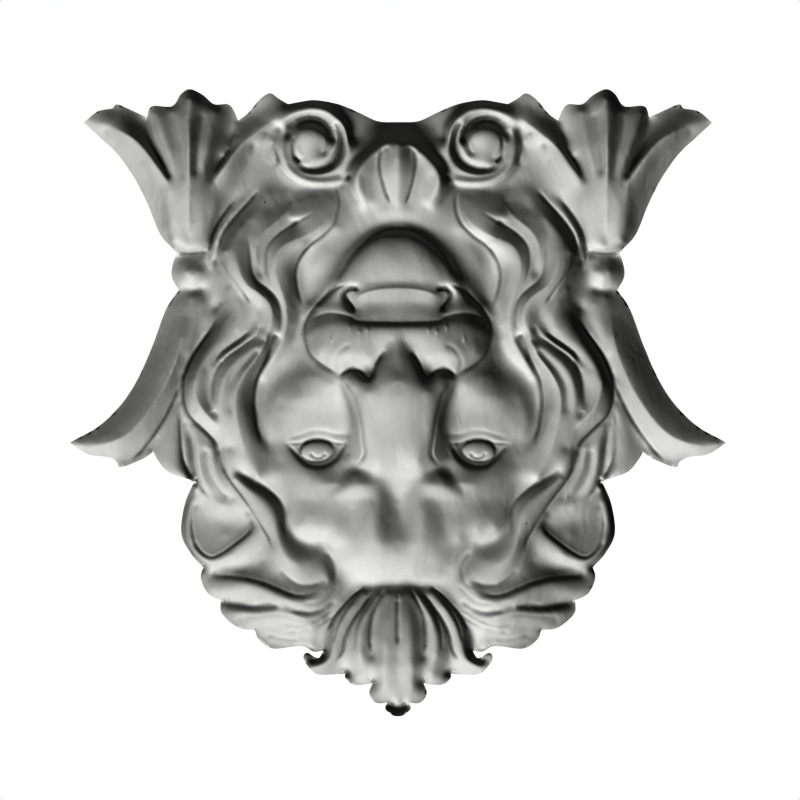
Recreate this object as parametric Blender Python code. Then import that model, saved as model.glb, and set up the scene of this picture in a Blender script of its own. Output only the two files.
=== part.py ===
"""A cast lion relief panel: a lion's face in its mane, with a leaf ornament at each side.

The panel hangs flat against a wall. Its back lies in the plane y = 0 and the relief faces -Y.
The origin is the middle of the back, +Z is up and X runs across the face.
Places on the relief are in modules, from the axis of symmetry outward and from the middle up.
The panel is WIDE modules across, HIGH modules tall, and its carving rises DEEP modules.
"""
import bmesh
import bpy
import numpy as np
from mathutils import Vector
from mathutils.geometry import delaunay_2d_cdt

PANEL_WIDTH = 0.42
PANEL_HEIGHT = 0.40
CARVING_DEPTH = 0.062
BACK_THICKNESS = 0.005

# The panel's own drawing grid
WIDE = 657
HIGH = 625.5
DEEP = 98
FOOT = -312
TOP_HEIGHT = 61

# How finely the carving is followed, in modules
STEP = 7
CLOSEST = 4
FILL = 15
FILL_CLOSEST = 9
ROUNDING = 2.0
SOFT_GIVE = 6.0
FIRM_GIVE = 1.0
RING_COUNT = 16
RING_SHARES = (0.5, 0.92, 1.08)
RING_CLOSEST = 2
ON_AXIS = 0.5
MERGE = 1e-6
SHARP_ANGLE = 0.7

PLASTER = (0.60, 0.60, 0.59, 1.0)
PLASTER_ROUGHNESS = 0.72


def rim():
    """The outline of one half, from the foot of the panel to the top, with the height of its front edge."""
    return {
        "rim_chin": ([(0, -279), (20, -280), (40, -289), (60, -297), (83, -301), (100, -299)],
            [6, 7, 8, 9, 10]),
        "rim_petal": ([(110, -297), (120, -303), (128, -308), (138, -302), (150, -288), (160, -280.5)],
            [9, 10, 11, 9, 7]),
        "rim_lobes": ([(160, -280.5), (164, -290), (170, -297), (184, -297), (195, -306), (208, -312),
            (217, -307), (226, -295), (246, -295), (251, -284)], [7, 9, 13, 16, 15, 14, 8]),
        "rim_blade": ([(251, -284), (260, -288), (281, -297), (285, -293), (300, -290), (314, -279)],
            [8, 8, 7, 7, 6]),
        "rim_cup_side": ([(314, -279), (300, -266), (280, -247), (262, -221), (250, -197), (238, -168),
            (226, -154), (221, -149)], [4, 6, 9, 12, 14, 15, 15, 16]),
        "rim_bead": ([(221, -149), (225, -138), (226, -125), (219, -111.5)], [9, 6, 6, 9]),
        "rim_flare": ([(219, -111.5), (232, -92), (245, -57), (260, -23), (277, 3), (300, 25),
            (328, 40.5)], [8, 10, 14, 21, 28, 34, 38]),
        "rim_flare_top": ([(328, 40.5), (310, 52), (290, 55), (281, 60), (277, 65), (255, 56.5),
            (245, 49.5)], [38, 37, 36, 35, 35, 34, 32]),
        "rim_leaf": ([(245, 49.5), (240, 58), (229, 70), (206, 78)], [32, 35, 37, 36]),
        "rim_ear": ([(204, 80), (213, 102), (216.5, 131), (207, 151), (194.5, 165)], [14, 8, 7, 8, 12]),
        "rim_mane_a": ([(194.5, 165), (197, 176), (190, 191), (177, 198)], [14, 15, 17, 19]),
        "rim_mane_b": ([(177, 198), (176, 211), (160, 225), (143, 227.5)], [18, 20, 24, 29]),
        "rim_mane_c": ([(143, 227.5), (139, 237), (125, 246), (97, 243.5), (84, 249), (74, 248)],
            [28, 31, 35, 38, 40]),
        "rim_hook": ([(74, 248), (80, 256), (91, 250.5), (94, 257), (82, 271), (60, 271.5), (50, 270.5)],
            [40, 50, 57, 56, 50, 46, 44]),
        "rim_curl": ([(50, 270.5), (53, 274), (46, 281.5), (35, 282), (25, 280)], [46, 52, 52, 52, 52]),
        "rim_top": ([(25, 280), (28.5, 291), (22, 300), (10, 300)], [52, 56, 57, 57]),
        "rim_cap": ([(10, 300), (12.5, 306), (5, 312.5), (0, 313.5)], [56, 60, 61, 61]),
    }


def nose():
    """The straight bridge, the rounded tip and the pad that turns under to the lip."""
    return {
        "profile_nose": ([(0, 66), (0, 50), (0, 20), (0, -12), (0, -22)], [76, 86, 90, 94, 98, 98]),
        "bridge_shoulder": ([(38, 62), (33, 48), (36, 32), (39, 15), (43, 0), (49, -12), (55, -22)],
            [70, 78, 81, 83, 82, 79, 72]),
        "bridge_foot": ([(51, 52), (48, 40), (45, 28), (45, 15), (49, 0), (54, -12), (58, -22)],
            [56, 60, 65, 66, 65, 65, 67]),
        "bridge_inner": ([(20, 62), (20, 40), (23, 20), (27, 0), (30, -10)], [82, 86, 88, 91, 94]),
        "nose_tip_edge": ([(0, -19), (16, -18), (30, -15), (40, -13), (46, -16)], [99, 97, 93, 88, 84]),
        "nose_pad_low": ([(54, -27), (49, -30), (43, -30), (37, -27), (31, -23.5), (26, -24), (22, -31),
            (18, -40), (12, -50), (7, -60)], [70, 74, 77, 80, 86, 87, 82, 79, 78, 78]),
        "nose_pad": ([(22, -24), (18, -32), (14, -42), (8, -54)], [90, 87, 83, 80]),
        "philtrum": ([(0, -30), (0, -50), (0, -66)], [92, 86, 80]),
        "nostril": ([(50, -34), (43, -35), (36, -32), (30, -28), (26, -29), (22, -38), (15, -50)],
            [70, 70, 71, 73, 74, 74, 76]),
        "nose_wing": ([(52, -22), (46, -24), (40, -22)], [77, 80, 84]),
    }


def muzzle():
    """The whisker pads, the parted mouth with its lower lip, and the fang at each corner."""
    return {
        "pad_crest": ([(30, -46), (44, -48), (62, -46)], [78, 80, 75]),
        "pad_mid": ([(24, -62), (44, -64), (62, -62), (76, -58), (80, -46)], [80, 82, 77, 69, 63]),
        "pad_outer": ([(62, -30), (75, -39), (84, -48), (87, -58), (89, -68), (86, -74)],
            [67, 63, 58, 55, 52, 52]),
        "pad_outer_foot": ([(60, -25), (74, -34), (86, -42), (93, -54), (96, -68), (94, -82)],
            [66, 61, 52, 42, 37, 35]),
        "pad_low": ([(84, -72), (70, -77), (56, -79), (44, -77), (20, -74), (0, -74)],
            [58, 69, 75, 79, 80, 79]),
        "mouth_slit": ([(90, -79), (80, -85), (69, -89), (58, -88), (48, -85), (38, -81), (20, -80),
            (0, -79.5)], [42, 50, 62, 68, 72, 74, 74, 73]),
        "lip_top": ([(40, -85), (28, -86), (14, -86), (0, -86)], [71, 72, 72, 72]),
        "lip_hollow": ([(38, -97), (20, -99), (0, -100)], [66, 67, 69]),
        "lip_low": ([(40, -106), (28, -110), (14, -112), (0, -113)], [67, 69, 70, 71]),
        "lip_groove": ([(44, -118), (20, -119), (0, -119)], [65, 67, 68]),
        "fang_gap": ([(44, -93), (49, -101), (52, -108), (48, -113), (40, -112)], [60, 58, 57, 59, 62]),
        "fang": ([(80, -95), (62, -93), (47, -90)], [46, 58, 66]),
        "fang_low": ([(74, -103), (62, -106), (56, -115)], [46, 58, 62]),
        "corner_fold": ([(95, -86), (88, -95), (77, -105), (66, -116)], [34, 33, 38, 46]),
    }


def chin():
    """The rounded chin, the shadow under it and the hollow of the jaw."""
    return {
        "chin_crest": ([(0, -126), (0, -142), (0, -156), (0, -166)], [70, 71, 68, 61]),
        "chin_side": ([(24, -126), (34, -138), (24, -156)], [69, 66, 64]),
        "chin_edge": ([(60, -121), (52, -134), (43, -145), (32, -156), (20, -164), (8, -168)],
            [58, 57, 57, 58, 59, 59]),
        "chin_under": ([(66, -124), (59, -137), (49, -150), (37, -161), (24, -170), (10, -175), (0, -176)],
            [46, 45, 44, 43, 42, 41, 42]),
        "jaw_hollow": ([(88, -100), (84, -112), (80, -125), (80, -140), (74, -152)], [31, 32, 34, 36, 38]),
        "jaw_low": ([(62, -163), (45, -172), (25, -182), (0, -186)], [38, 38, 40, 42]),
    }


def eye():
    """The eyeball between its lids, the fold below it and the cheek."""
    return {
        "lid_up": ([(114, 39), (106, 46), (99, 54), (91, 59), (80, 60.5), (70, 59), (61, 53), (54, 42)],
            [43, 45, 48, 51, 53, 53, 53, 54]),
        "lid_crease": ([(112, 46), (104, 55), (96, 62), (87, 66.5), (78, 67.5), (68, 65.5), (59, 58),
            (51, 47)], [45, 50, 56, 60, 61, 62, 62, 60]),
        "lid_low": ([(99, 43), (92, 40), (80, 38), (68, 39), (60, 42)], [45, 44, 44, 46, 50]),
        "lid_rim": ([(106, 41), (95, 37), (80, 34.5), (66, 36), (54, 40)], [46, 48, 49, 50, 55]),
        "lid_fold": ([(100, 37), (90, 32.5), (80, 30.5), (65, 32), (54, 34)], [45, 48, 49, 50, 54]),
        "under_lid": ([(102, 32), (85, 26), (66, 27)], [47, 51, 53]),
        "cheek_a": ([(62, 12), (80, 10), (100, 10), (120, 16)], [55, 54, 51, 44]),
        "cheek_b": ([(64, -6), (82, -6), (100, -4), (118, 2)], [60, 59, 53, 43]),
        "cheek_c": ([(68, -17), (79, -25), (90, -25), (100, -17), (112, -6)], [65, 61, 54, 49, 43]),
        "cheek_d": ([(126, 34), (129, 20), (127, 6), (121, -8), (112, -20), (103, -31), (97, -42)],
            [44, 43, 42, 41, 40, 39, 37]),
        "cheek_edge": ([(127, 51), (134, 37), (138, 22), (139, 8), (137, -4), (133, -15), (126, -27),
            (117, -36), (108, -45), (103, -56), (103, -66)], [45, 41, 38, 35, 32, 30, 29, 29, 29, 30, 32]),
    }


def brow():
    """The overhanging brow, the furrow between the eyes and the forehead."""
    return {
        "brow": ([(14, 83), (26, 82), (38, 83), (46, 85)], [69, 75, 78, 76]),
        "brow_outer": ([(60, 81), (75, 82), (90, 83), (102, 84), (112, 85)], [70, 69, 64, 58, 51]),
        "brow_up": ([(52, 98), (66, 99), (80, 99), (95, 97)], [69, 67, 64, 58]),
        "knob_up": ([(28, 95), (38, 97), (47, 97)], [73, 71, 70]),
        "knob_step": ([(42, 74), (50, 84), (58, 92)], [74, 75, 71]),
        "knob_foot": ([(50, 67), (57, 77), (66, 89)], [62, 66, 67]),
        "brow_low": ([(62, 75), (76, 76), (90, 74), (104, 69), (118, 60)], [66, 66, 61.5, 54, 46]),
        "brow_inner": ([(44, 65), (36, 68), (28, 72)], [63, 68, 71]),
        "brow_root": ([(8, 77), (20, 76)], [69, 72]),
        "furrow": ([(0, 150), (0, 138), (0, 124), (0, 110), (0, 96), (0, 84)], [68, 67, 64, 62, 61, 66]),
        "furrow_side": ([(8, 138), (8, 120), (8, 104), (8, 90)], [71, 68, 66, 65]),
        "furrow_top": ([(18, 142), (18, 124), (18, 106), (17, 92)], [77, 76, 74.5, 72]),
        "forehead_a": ([(25, 138), (24, 122), (25, 106)], [77.5, 78, 76]),
        "forehead_hollow": ([(46, 136), (46, 122), (46, 108)], [69, 68.5, 68]),
        "forehead_b": ([(62, 138), (62, 124), (62, 110)], [66, 68.5, 67]),
        "forehead_c": ([(80, 128), (84, 114)], [65, 65]),
        "forehead_d": ([(98, 126), (98, 112), (102, 98)], [60, 58.5, 55]),
        "forehead_top": ([(0, 160), (20, 158), (40, 157), (52, 150)], [64, 70.5, 67, 62]),
        "forehead_edge": ([(113, 84), (108, 100), (107, 116), (100, 130), (82, 138), (70, 143), (62, 156),
            (54, 166), (38, 172), (20, 172), (0, 169)], [50, 54, 55, 56, 55, 53, 49, 49, 56, 62, 60]),
    }


def crest():
    """The upright leaf over the forehead, its folds and the curl of its tips."""
    return {
        "crest_base": ([(0, 180), (20, 183), (38, 184), (50, 181)], [52, 48, 46, 47]),
        "crest_mid": ([(0, 300), (0, 285), (0, 262), (0, 240), (0, 222), (0, 204), (0, 194)],
            [58, 64, 70, 72, 71, 68, 61]),
        "cap": ([(0, 303), (8, 303)], [50, 50]),
        "crest_a_groove": ([(12, 190), (20, 202), (25, 215), (27, 235), (26, 255)], [54, 57, 58, 60, 60]),
        "crest_a": ([(7, 194), (11, 208), (14, 228), (14, 255), (16, 288)], [60, 68, 73, 72, 61]),
        "crest_b": ([(20, 194), (30, 210), (37, 228), (38, 250), (34, 272)], [57, 65, 67, 67, 60]),
        "crest_b_groove": ([(25, 192), (37, 206), (46, 222), (52, 238), (52, 256), (46, 268)],
            [50, 53, 54, 54, 53, 50]),
        "crest_c": ([(34, 191), (47, 206), (57, 221), (64, 238), (70, 256), (82, 264)],
            [53, 59, 60, 59, 57, 57]),
        "crest_c_groove": ([(42, 189), (57, 202), (67, 216), (73, 232), (74, 246)], [45, 46, 46, 44, 41]),
        "hook_under": ([(76, 252), (86, 257), (90, 253)], [40, 46, 54]),
    }


def side_locks():
    """The long locks that fall in waves beside the face."""
    return {
        "big_lock_crest": ([(126, 86), (141, 75), (149, 62), (153, 48), (157, 34), (160, 20), (163, 5),
            (162, -10), (157, -22), (149, -34), (140, -44), (134, -54), (131, -64)],
            [50, 51, 53, 56, 58, 60, 61, 61, 61, 60, 58, 56, 53]),
        "big_wall_top": ([(133, 66), (141, 50), (145, 38), (148, 25), (151, 10), (153, 0), (153, -12),
            (150, -22), (145, -32), (139, -42), (133, -52), (129, -62)],
            [50, 50, 50, 50, 50, 50, 50, 50, 49, 48, 47, 47, 46]),
        "big_groove": ([(120, 72), (128, 62), (134, 48), (138, 38), (141, 25), (143, 10), (144, 0),
            (143, -12), (141, -22), (136, -33), (131, -43), (126, -55), (122, -66)],
            [49, 47, 44, 41, 39, 37, 36, 35, 35, 36, 36, 37, 38]),
        "big_valley": ([(168, 8), (168, -8), (165, -20), (158, -31), (149, -41), (141, -50)],
            [60, 59, 59, 58, 57, 55]),
        "big_back": ([(168, 46), (175, 32), (178, 12), (177, -8), (175, -20), (170, -31), (162, -40),
            (152, -48), (143, -55), (134, -62)], [48, 52, 57, 60, 61, 60, 59, 57, 55, 53]),
        "step_floor": ([(185, 8), (185, -8), (184, -22), (180, -34), (171, -45), (160, -53), (150, -60),
            (141, -66), (137, -74)], [54, 52, 51, 50, 50, 50, 49, 48, 48]),
        "step_ledge": ([(176, -43), (167, -51), (156, -58), (147, -65), (142, -72)], [50, 50, 50, 49, 48]),
        "step_low": ([(183, -38), (177, -49), (166, -57), (156, -64), (148, -71), (143, -80)],
            [46, 45, 45, 45, 45, 45]),
        "outer_crest": ([(172, 30), (181, 22), (190, 14), (198, 4), (202, -6), (204, -18), (201, -30),
            (193, -43), (184, -57), (176, -70), (171, -84)], [50, 50, 51, 52, 50, 48, 46, 44, 42, 39, 36]),
        "outer_shoulder": ([(203, 12), (208, 2), (210, -8), (209, -20), (204, -34), (196, -47), (187, -60),
            (179, -74)], [43, 42, 40, 38, 37, 36, 34, 31]),
        "outer_hollow": ([(182, 14), (188, 2), (191, -12), (189, -26), (182, -38)], [48, 46, 45, 45, 45]),
        "outer_mid": ([(192, -32), (186, -44), (176, -56), (164, -66)], [45, 44, 43, 43]),
        "outer_groove": ([(180, 62), (181, 48), (184, 39), (192, 30), (201, 22), (210, 12), (214, 0),
            (215, -12), (213, -28), (206, -44), (197, -58), (188, -71), (181, -84), (177, -98)],
            [38, 38, 38, 38, 36, 31, 27, 25, 23, 22, 21, 21, 21, 21]),
        "outer_field": ([(160, -72), (156, -88), (160, -102), (168, -112)], [44, 44, 42, 37]),
        "outer_side": ([(172, -92), (174, -108), (180, -124), (184, -140)], [31, 28, 23, 18]),
        "lock2_crest": ([(134, -68), (126, -78), (126, -92), (131, -102), (141, -110), (151, -117),
            (157, -127), (161, -140), (162, -153), (158, -166)], [50, 51, 51, 51, 51, 50, 50, 49, 48, 44]),
        "lock2_valley": ([(121, -68), (117, -80), (118, -94), (123, -105), (131, -113), (140, -120),
            (145, -128), (147, -138), (148, -150), (150, -163), (146, -178)],
            [42, 42, 42, 42, 42, 42, 41, 40, 39, 36, 32]),
        "lock2_side": ([(138, -76), (139, -90), (147, -101), (158, -112), (166, -124), (171, -138),
            (172, -150)], [46, 45, 45, 45, 44, 43, 42]),
        "fold_out": ([(153, -96), (163, -109), (172, -122), (179, -136)], [43, 39, 33, 27]),
        "lock2_shoulder": ([(174, -150), (167, -161), (158, -172), (148, -184), (138, -196), (130, -207)],
            [40, 38, 35, 31, 27, 23]),
        "lock4_floor": ([(180, -146), (179, -156), (176, -166), (168, -178), (158, -190), (148, -201),
            (139, -212)], [27, 27, 26, 24, 22, 20, 18]),
        "thin_lock": ([(184, -150), (181, -162), (176, -173), (170, -183), (163, -193), (157, -201)],
            [26, 29, 29, 27, 25, 21]),
        "thin_groove": ([(188, -134), (188, -150), (185, -166), (179, -179), (171, -191), (161, -204)],
            [17, 19, 21, 21, 20, 18]),
        "lock3_crest": ([(136, -26), (130, -38), (122, -51), (115, -63), (111, -78), (112, -96),
            (117, -112), (122, -127), (123, -139), (120, -150), (112, -158), (100, -163), (88, -168),
            (78, -175), (70, -184), (64, -195), (61, -208)],
            [36, 38, 40, 42, 44, 45, 46, 47, 47, 47, 46, 45, 44, 43, 41, 37, 30]),
        "lock3_flank": ([(105, -78), (106, -95), (108, -110), (110, -125), (110, -138), (104, -149),
            (93, -158)], [39, 40, 40, 41, 41, 41, 41]),
        "lock3_valley": ([(104, -66), (100, -82), (97, -97), (99, -110), (101, -122), (100, -136),
            (95, -149), (86, -158), (75, -166), (62, -174)], [35, 35, 33, 31, 30, 30, 32, 35, 38, 40]),
        "curl_valley": ([(133, -126), (132, -140), (131, -152), (125, -163), (114, -172), (103, -180)],
            [43, 41, 39, 37, 35, 32]),
        "curl_ridge": ([(138, -128), (142, -140), (142, -152), (139, -162), (132, -172), (121, -181),
            (112, -190), (106, -200)], [40, 41, 41, 40, 38, 35, 31, 25]),
        "low_field": ([(96, -182), (86, -192), (78, -206)], [36, 33, 28]),
        "low_field_b": ([(98, -196), (96, -210)], [29, 22]),
        "low_field_c": ([(130, -192), (120, -204), (112, -214)], [28, 23, 18]),
        "ground": ([(150, -212), (140, -219), (128, -228), (120, -240), (124, -256), (132, -268)],
            [17, 16, 15, 14, 14, 16]),
        "ground_b": ([(168, -214), (160, -226), (150, -244), (146, -256)], [24, 21, 18, 18]),
    }


def upper_mane():
    """The ear, the strands over it and the locks swept back over the temple."""
    return {
        "ear_rim": ([(206, 96), (211, 112), (212, 130), (207, 146), (196, 157), (182, 160), (166, 152),
            (152, 140), (143, 128)], [14, 16, 19, 23, 26, 28, 28, 29, 32]),
        "ear_bowl": ([(203, 104), (204, 120), (202, 136), (194, 147), (184, 149), (170, 143), (157, 133),
            (149, 123), (152, 113)], [14, 15, 15, 17, 20, 22, 24, 25, 27]),
        "ear_floor": ([(190, 112), (180, 118), (168, 122)], [19, 22, 25]),
        "ear_floor_b": ([(194, 130), (184, 134), (172, 132)], [17, 20, 23]),
        "strand_a": ([(204, 86), (208, 72), (211, 58), (212, 40), (212, 22)], [27, 31, 33, 33, 31]),
        "strand_b": ([(178, 92), (187, 84), (194, 72), (197, 55), (199, 40), (203, 28)],
            [30, 33, 36, 37, 38, 38]),
        "strand_groove": ([(187, 96), (196, 80), (201, 62), (203, 45), (207, 30), (211, 16)],
            [26, 27, 28, 29, 30, 30]),
        "strand_c": ([(160, 92), (172, 84), (182, 72), (185, 58), (185, 46)], [34, 37, 39, 39, 40]),
        "strand_gap": ([(168, 92), (180, 84), (188, 66), (190, 48)], [30, 32, 33, 37]),
        "leaf_gap": ([(204, 76), (211, 62), (214, 44), (215, 24), (216, 6)], [26, 27, 28, 27, 26]),
        "temple_edge": ([(184, 60), (175, 70), (166, 82), (156, 96), (146, 110), (137, 124), (130, 136),
            (126, 150), (118, 158)], [38, 36, 36, 35, 33, 32, 33, 37, 42]),
        "deep_groove": ([(166, 69), (154, 75), (143, 80), (133, 87), (124, 96), (118, 107), (116, 122),
            (115, 136)], [44, 43, 43, 43, 45, 47, 49, 51]),
        "deep_crest": ([(150, 90), (140, 97), (131, 105), (126, 116), (124, 130), (120, 144), (112, 154),
            (100, 160), (88, 160)], [52, 56, 58, 58, 58, 57, 57, 57, 55]),
        "deep_flank": ([(158, 82), (146, 88), (134, 95), (126, 104), (121, 114), (120, 128)],
            [46, 48, 50, 52, 54, 55]),
        "curl_inner": ([(112, 140), (106, 148), (96, 152), (84, 148)], [51, 51, 50, 49]),
        "curl_crest": ([(132, 146), (126, 158), (115, 168), (100, 174), (86, 172), (80, 160), (78, 150)],
            [38, 44, 52, 57, 58, 52, 46]),
        "curl_groove": ([(74, 146), (70, 154), (66, 164), (63, 176)], [47, 47, 47, 48]),
        "curl_outer": ([(78, 154), (72, 166), (70, 178), (76, 190), (86, 198), (98, 201)],
            [50, 54, 56, 59, 61, 61]),
        "temple_lock": ([(190, 166), (178, 168), (160, 160), (146, 152), (138, 142)], [21, 26, 28, 30, 33]),
        "temple_plane": ([(160, 170), (145, 166), (133, 160)], [22, 27, 33]),
        "u1_groove": ([(184, 172), (166, 173), (150, 175), (132, 180), (118, 186), (105, 192), (94, 193),
            (84, 190)], [17, 24, 30, 38, 45, 51, 54, 55]),
        "u1_crest": ([(184, 178), (168, 179), (150, 182), (134, 187), (120, 194), (106, 200)],
            [20, 28, 34, 42, 51, 59]),
        "mane_a": ([(190, 186), (172, 190), (152, 192), (134, 197), (118, 204)], [15, 26, 36, 44, 53]),
        "ga_groove": ([(176, 199), (160, 201), (145, 204), (130, 203), (112, 205), (98, 208), (84, 209),
            (70, 206)], [17, 25, 34, 42, 51, 57, 55, 50]),
        "mane_b": ([(172, 208), (156, 210), (140, 211), (124, 209), (110, 211), (96, 216), (82, 219),
            (70, 217)], [20, 30, 38, 46, 53, 57, 55, 50]),
        "gb_groove": ([(158, 216), (140, 215), (122, 213), (108, 216), (94, 221), (80, 223)],
            [25, 37, 46, 52, 54, 52]),
        "mane_c": ([(150, 223), (134, 224), (116, 224), (100, 228), (84, 232), (74, 234)],
            [26, 36, 45, 49, 48, 45]),
        "gd_groove": ([(136, 236), (122, 236), (110, 234), (98, 234), (86, 238)], [28, 36, 41, 45, 45]),
        "mane_d": ([(128, 241), (112, 240), (98, 240), (86, 244)], [29, 34, 39, 40]),
    }


def flare():
    """The upper leaf of the side ornament, its sharp arris and the second leaf inside it."""
    return {
        "flare_arris": ([(207, -104), (212, -85), (217, -60), (223, -38), (232, -18), (243, 0), (256, 18),
            (272, 33), (290, 41), (308, 44), (320, 42.5)], [17, 21, 27, 31, 34, 37, 40, 42, 43, 42, 40]),
        "flare_bulge": ([(196, -98), (201, -80), (206, -60)], [21, 25, 28]),
        "flare_valley": ([(214, -26), (222, -8), (231, 10), (240, 26), (250, 40), (262, 52), (272, 60)],
            [25, 28, 31, 33, 34, 34, 34]),
        "flare_leaf": ([(217, 0), (222, 14), (227, 30), (231, 46), (234, 58)], [30, 33, 35, 36, 36]),
        "flare_slot": ([(226, 2), (236, 20), (244, 36), (247, 47)], [29, 31, 32, 31]),
        "flare_leaf_edge": ([(218, 20), (219, 40), (218, 58), (212, 72)], [33, 36, 38, 38]),
        "flare_root": ([(206, -107), (196, -106), (187, -101), (182, -93)], [15, 16, 18, 18]),
        "flare_shade": ([(193, -84), (199, -66), (206, -46), (212, -30)], [21, 22, 23, 24]),
    }


def bead():
    """The round bead between the two leaves, with a neck above and below."""
    return {
        "bead_neck_top": ([(218, -111.5), (208, -112), (197, -112)], [9, 12, 12]),
        "bead_neck_low": ([(220, -148.5), (208, -148), (192, -149)], [12, 14, 14]),
    }


def cup():
    """The lower leaf, a flared cup with ribs, two slits and a pointed inner petal."""
    return {
        "cup_top": ([(219, -153), (208, -152), (194, -153)], [24, 29, 26]),
        "cup_centre": ([(209, -158), (209, -175), (209, -200), (209, -225), (209, -250), (209, -280),
            (208, -303)], [32, 38, 43, 45, 43, 37, 28]),
        "cup_inner_edge": ([(189, -158), (186, -176), (182, -198), (182, -212)], [27, 29, 31, 32]),
        "cup_outer_arris": ([(225, -160), (228, -180), (230, -205), (231, -221), (241, -239), (252, -252),
            (266, -264), (288, -275), (306, -279)], [30, 34, 37, 38, 35, 32, 28, 18, 8]),
        "cup_outer_fall": ([(234, -180), (241, -205), (252, -230), (268, -250), (292, -270)],
            [25, 26, 25, 21, 11]),
        "cup_slit": ([(230, -226), (239, -243), (246, -260), (250, -280)], [32, 21, 14, 8]),
        "cup_rib_a": ([(219, -212), (225, -230), (232, -250), (240, -272), (244, -288)],
            [42, 38, 34, 27, 18]),
        "cup_valley": ([(215, -225), (218, -248), (223, -270), (226, -290)], [41, 37, 29, 20]),
        "cup_rib_b": ([(196, -218), (194, -234), (190, -252), (186, -275), (183, -290)],
            [39, 38, 35, 28, 20]),
        "cup_valley_b": ([(203, -230), (201, -255), (197, -285)], [39, 35, 24]),
        "cup_slit_b": ([(186, -222), (178, -237), (170, -252), (165, -265), (163, -280)],
            [31, 22, 16, 12, 8]),
        "petal_edge": ([(184, -219), (178, -231), (168, -245), (156, -257), (145, -266), (131, -277)],
            [33, 32, 30, 27, 24, 21]),
        "petal_mid": ([(174, -246), (160, -268), (142, -285), (130, -300)], [22, 17, 14, 12]),
    }


def shell():
    """The small shell under the chin, three lobes with a rolled rim."""
    return {
        "shell_top": ([(0, -190), (16, -189), (28, -193)], [44, 42, 41]),
        "shell_centre": ([(0, -200), (0, -215), (0, -232), (0, -246), (0, -258)], [48, 54, 58, 58, 52]),
        "shell_groove": ([(8, -198), (13, -214), (16, -230), (15, -246), (12, -254)], [43, 45, 46, 43, 40]),
        "shell_side": ([(21, -202), (25, -216), (26, -232), (22, -244)], [43, 46, 47, 46]),
        "shell_hollow": ([(28, -202), (34, -214), (35, -226)], [44, 48, 49]),
        "shell_rim": ([(34, -199), (41, -210), (43, -222), (39, -234), (28, -245), (14, -255), (0, -260)],
            [43, 46, 47, 46, 45, 45, 47]),
        "shell_foot": ([(40, -197), (49, -210), (51, -224), (47, -239), (34, -252), (18, -264), (0, -269)],
            [35, 31, 30, 29, 28, 27, 27]),
    }


def volute():
    """The scroll beside the shell, a rim, a trough and a ribbon that winds in to an eye."""
    return {
        "volute_rim": ([(132, -278), (122, -284), (110, -290), (98, -294), (85, -296), (72, -293.5),
            (62, -286), (54, -274), (51, -262), (51, -251), (55, -241), (62, -233), (70, -229), (80, -227),
            (90, -228), (99, -231), (105, -237), (110, -244), (111, -251), (109, -259)],
            [20, 20, 20, 21, 22, 24, 27, 29, 30, 31, 31, 31, 30, 30, 29, 28, 27, 26, 24, 22]),
        "volute_trough": ([(63, -276), (59, -266), (57, -256), (60, -246), (66, -239), (76, -234),
            (88, -233), (97, -237), (103, -243)], [19, 18, 18, 18, 19, 20, 21, 21, 21]),
        "volute_back": ([(50, -224), (59, -220), (69, -218), (77, -217), (87, -218), (97, -221),
            (105, -226), (112, -234), (116, -243), (117, -252), (115, -263), (109, -273)],
            [29, 30, 31, 31, 30, 28, 27, 25, 23, 22, 21, 19]),
        "volute_band": ([(60, -225), (76, -222), (90, -223), (102, -230), (109, -238)],
            [27, 27, 26, 25, 24]),
        "volute_ground": ([(56, -214), (70, -212), (84, -212), (98, -215), (110, -222), (118, -232),
            (123, -244), (124, -258), (120, -272)], [26, 24, 22, 19, 17, 15, 14, 13, 14]),
        "volute_ribbon": ([(118, -281), (104, -286), (92, -289), (79, -288), (68, -282), (62, -270),
            (60.5, -260), (64, -250), (71, -242), (81, -237.5), (93, -236.5), (102, -240), (108, -248),
            (105, -262)], [22, 23, 24, 25, 26, 27, 27, 27, 27, 26, 26, 25, 24, 22]),
        "volute_well": ([(68, -261), (71, -270), (79, -277), (91, -278), (101, -272), (104, -266)],
            [19, 14, 10, 10, 12, 15]),
        "scroll_wall": ([(46, -262), (48, -276), (58, -290), (72, -298)], [20, 17, 15, 13]),
    }


def knobs():
    """The eyeball, the bead and the button of the scroll: middle, half sizes, base, rise, roundness."""
    return {
        "eyeball": ((80, 50), (17, 11.5), 48, 6, 2),
        "bead": ((208, -130), (18.5, 18.5), 9, 14, 2),
        "scroll_button": ((87, -254), (16, 16), 13, 14, 6),
    }


def smooth_route(points, step):
    """A Catmull-Rom curve through the points, with a point about every step."""
    points = np.array(points, float)
    ends = np.vstack([2 * points[0] - points[1], points, 2 * points[-1] - points[-2]])
    route = []
    for before, start, end, after in zip(ends, ends[1:], ends[2:], ends[3:]):
        count = max(1, round(np.linalg.norm(end - start) / step))
        t = np.linspace(0, 1, count, endpoint=False)[:, None]
        curve = (2 * start + (end - before) * t + (2 * before - 5 * start + 4 * end - after) * t**2
                 + (3 * start - before - 3 * end + after) * t**3)
        route.append(curve / 2)
    route.append(points[-1:])
    return np.vstack(route)


def raised_route(points, heights, step):
    """The route of a stroke with its heights spread evenly along it, as rows of u, z, height."""
    if len(points) == 1:
        return np.array([[*points[0], heights[0]]], float)
    route = smooth_route(points, step)
    lengths = np.hypot(*np.diff(route, axis=0).T)
    share = np.concatenate([[0], np.cumsum(lengths)]) / lengths.sum()
    level = np.interp(share, np.linspace(0, 1, len(heights)), heights)
    return np.column_stack([route, level])


def mirrored(rows):
    """The same rows on the other side of the axis."""
    return rows * [-1, 1, 1]


def spread(rows, others):
    """The reach from each row to each of the others, rounded off close to it."""
    across = rows[:, None, 0] - others[None, :, 0]
    up = rows[:, None, 1] - others[None, :, 1]
    return np.sqrt(across**2 + up**2 + ROUNDING**2)


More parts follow.
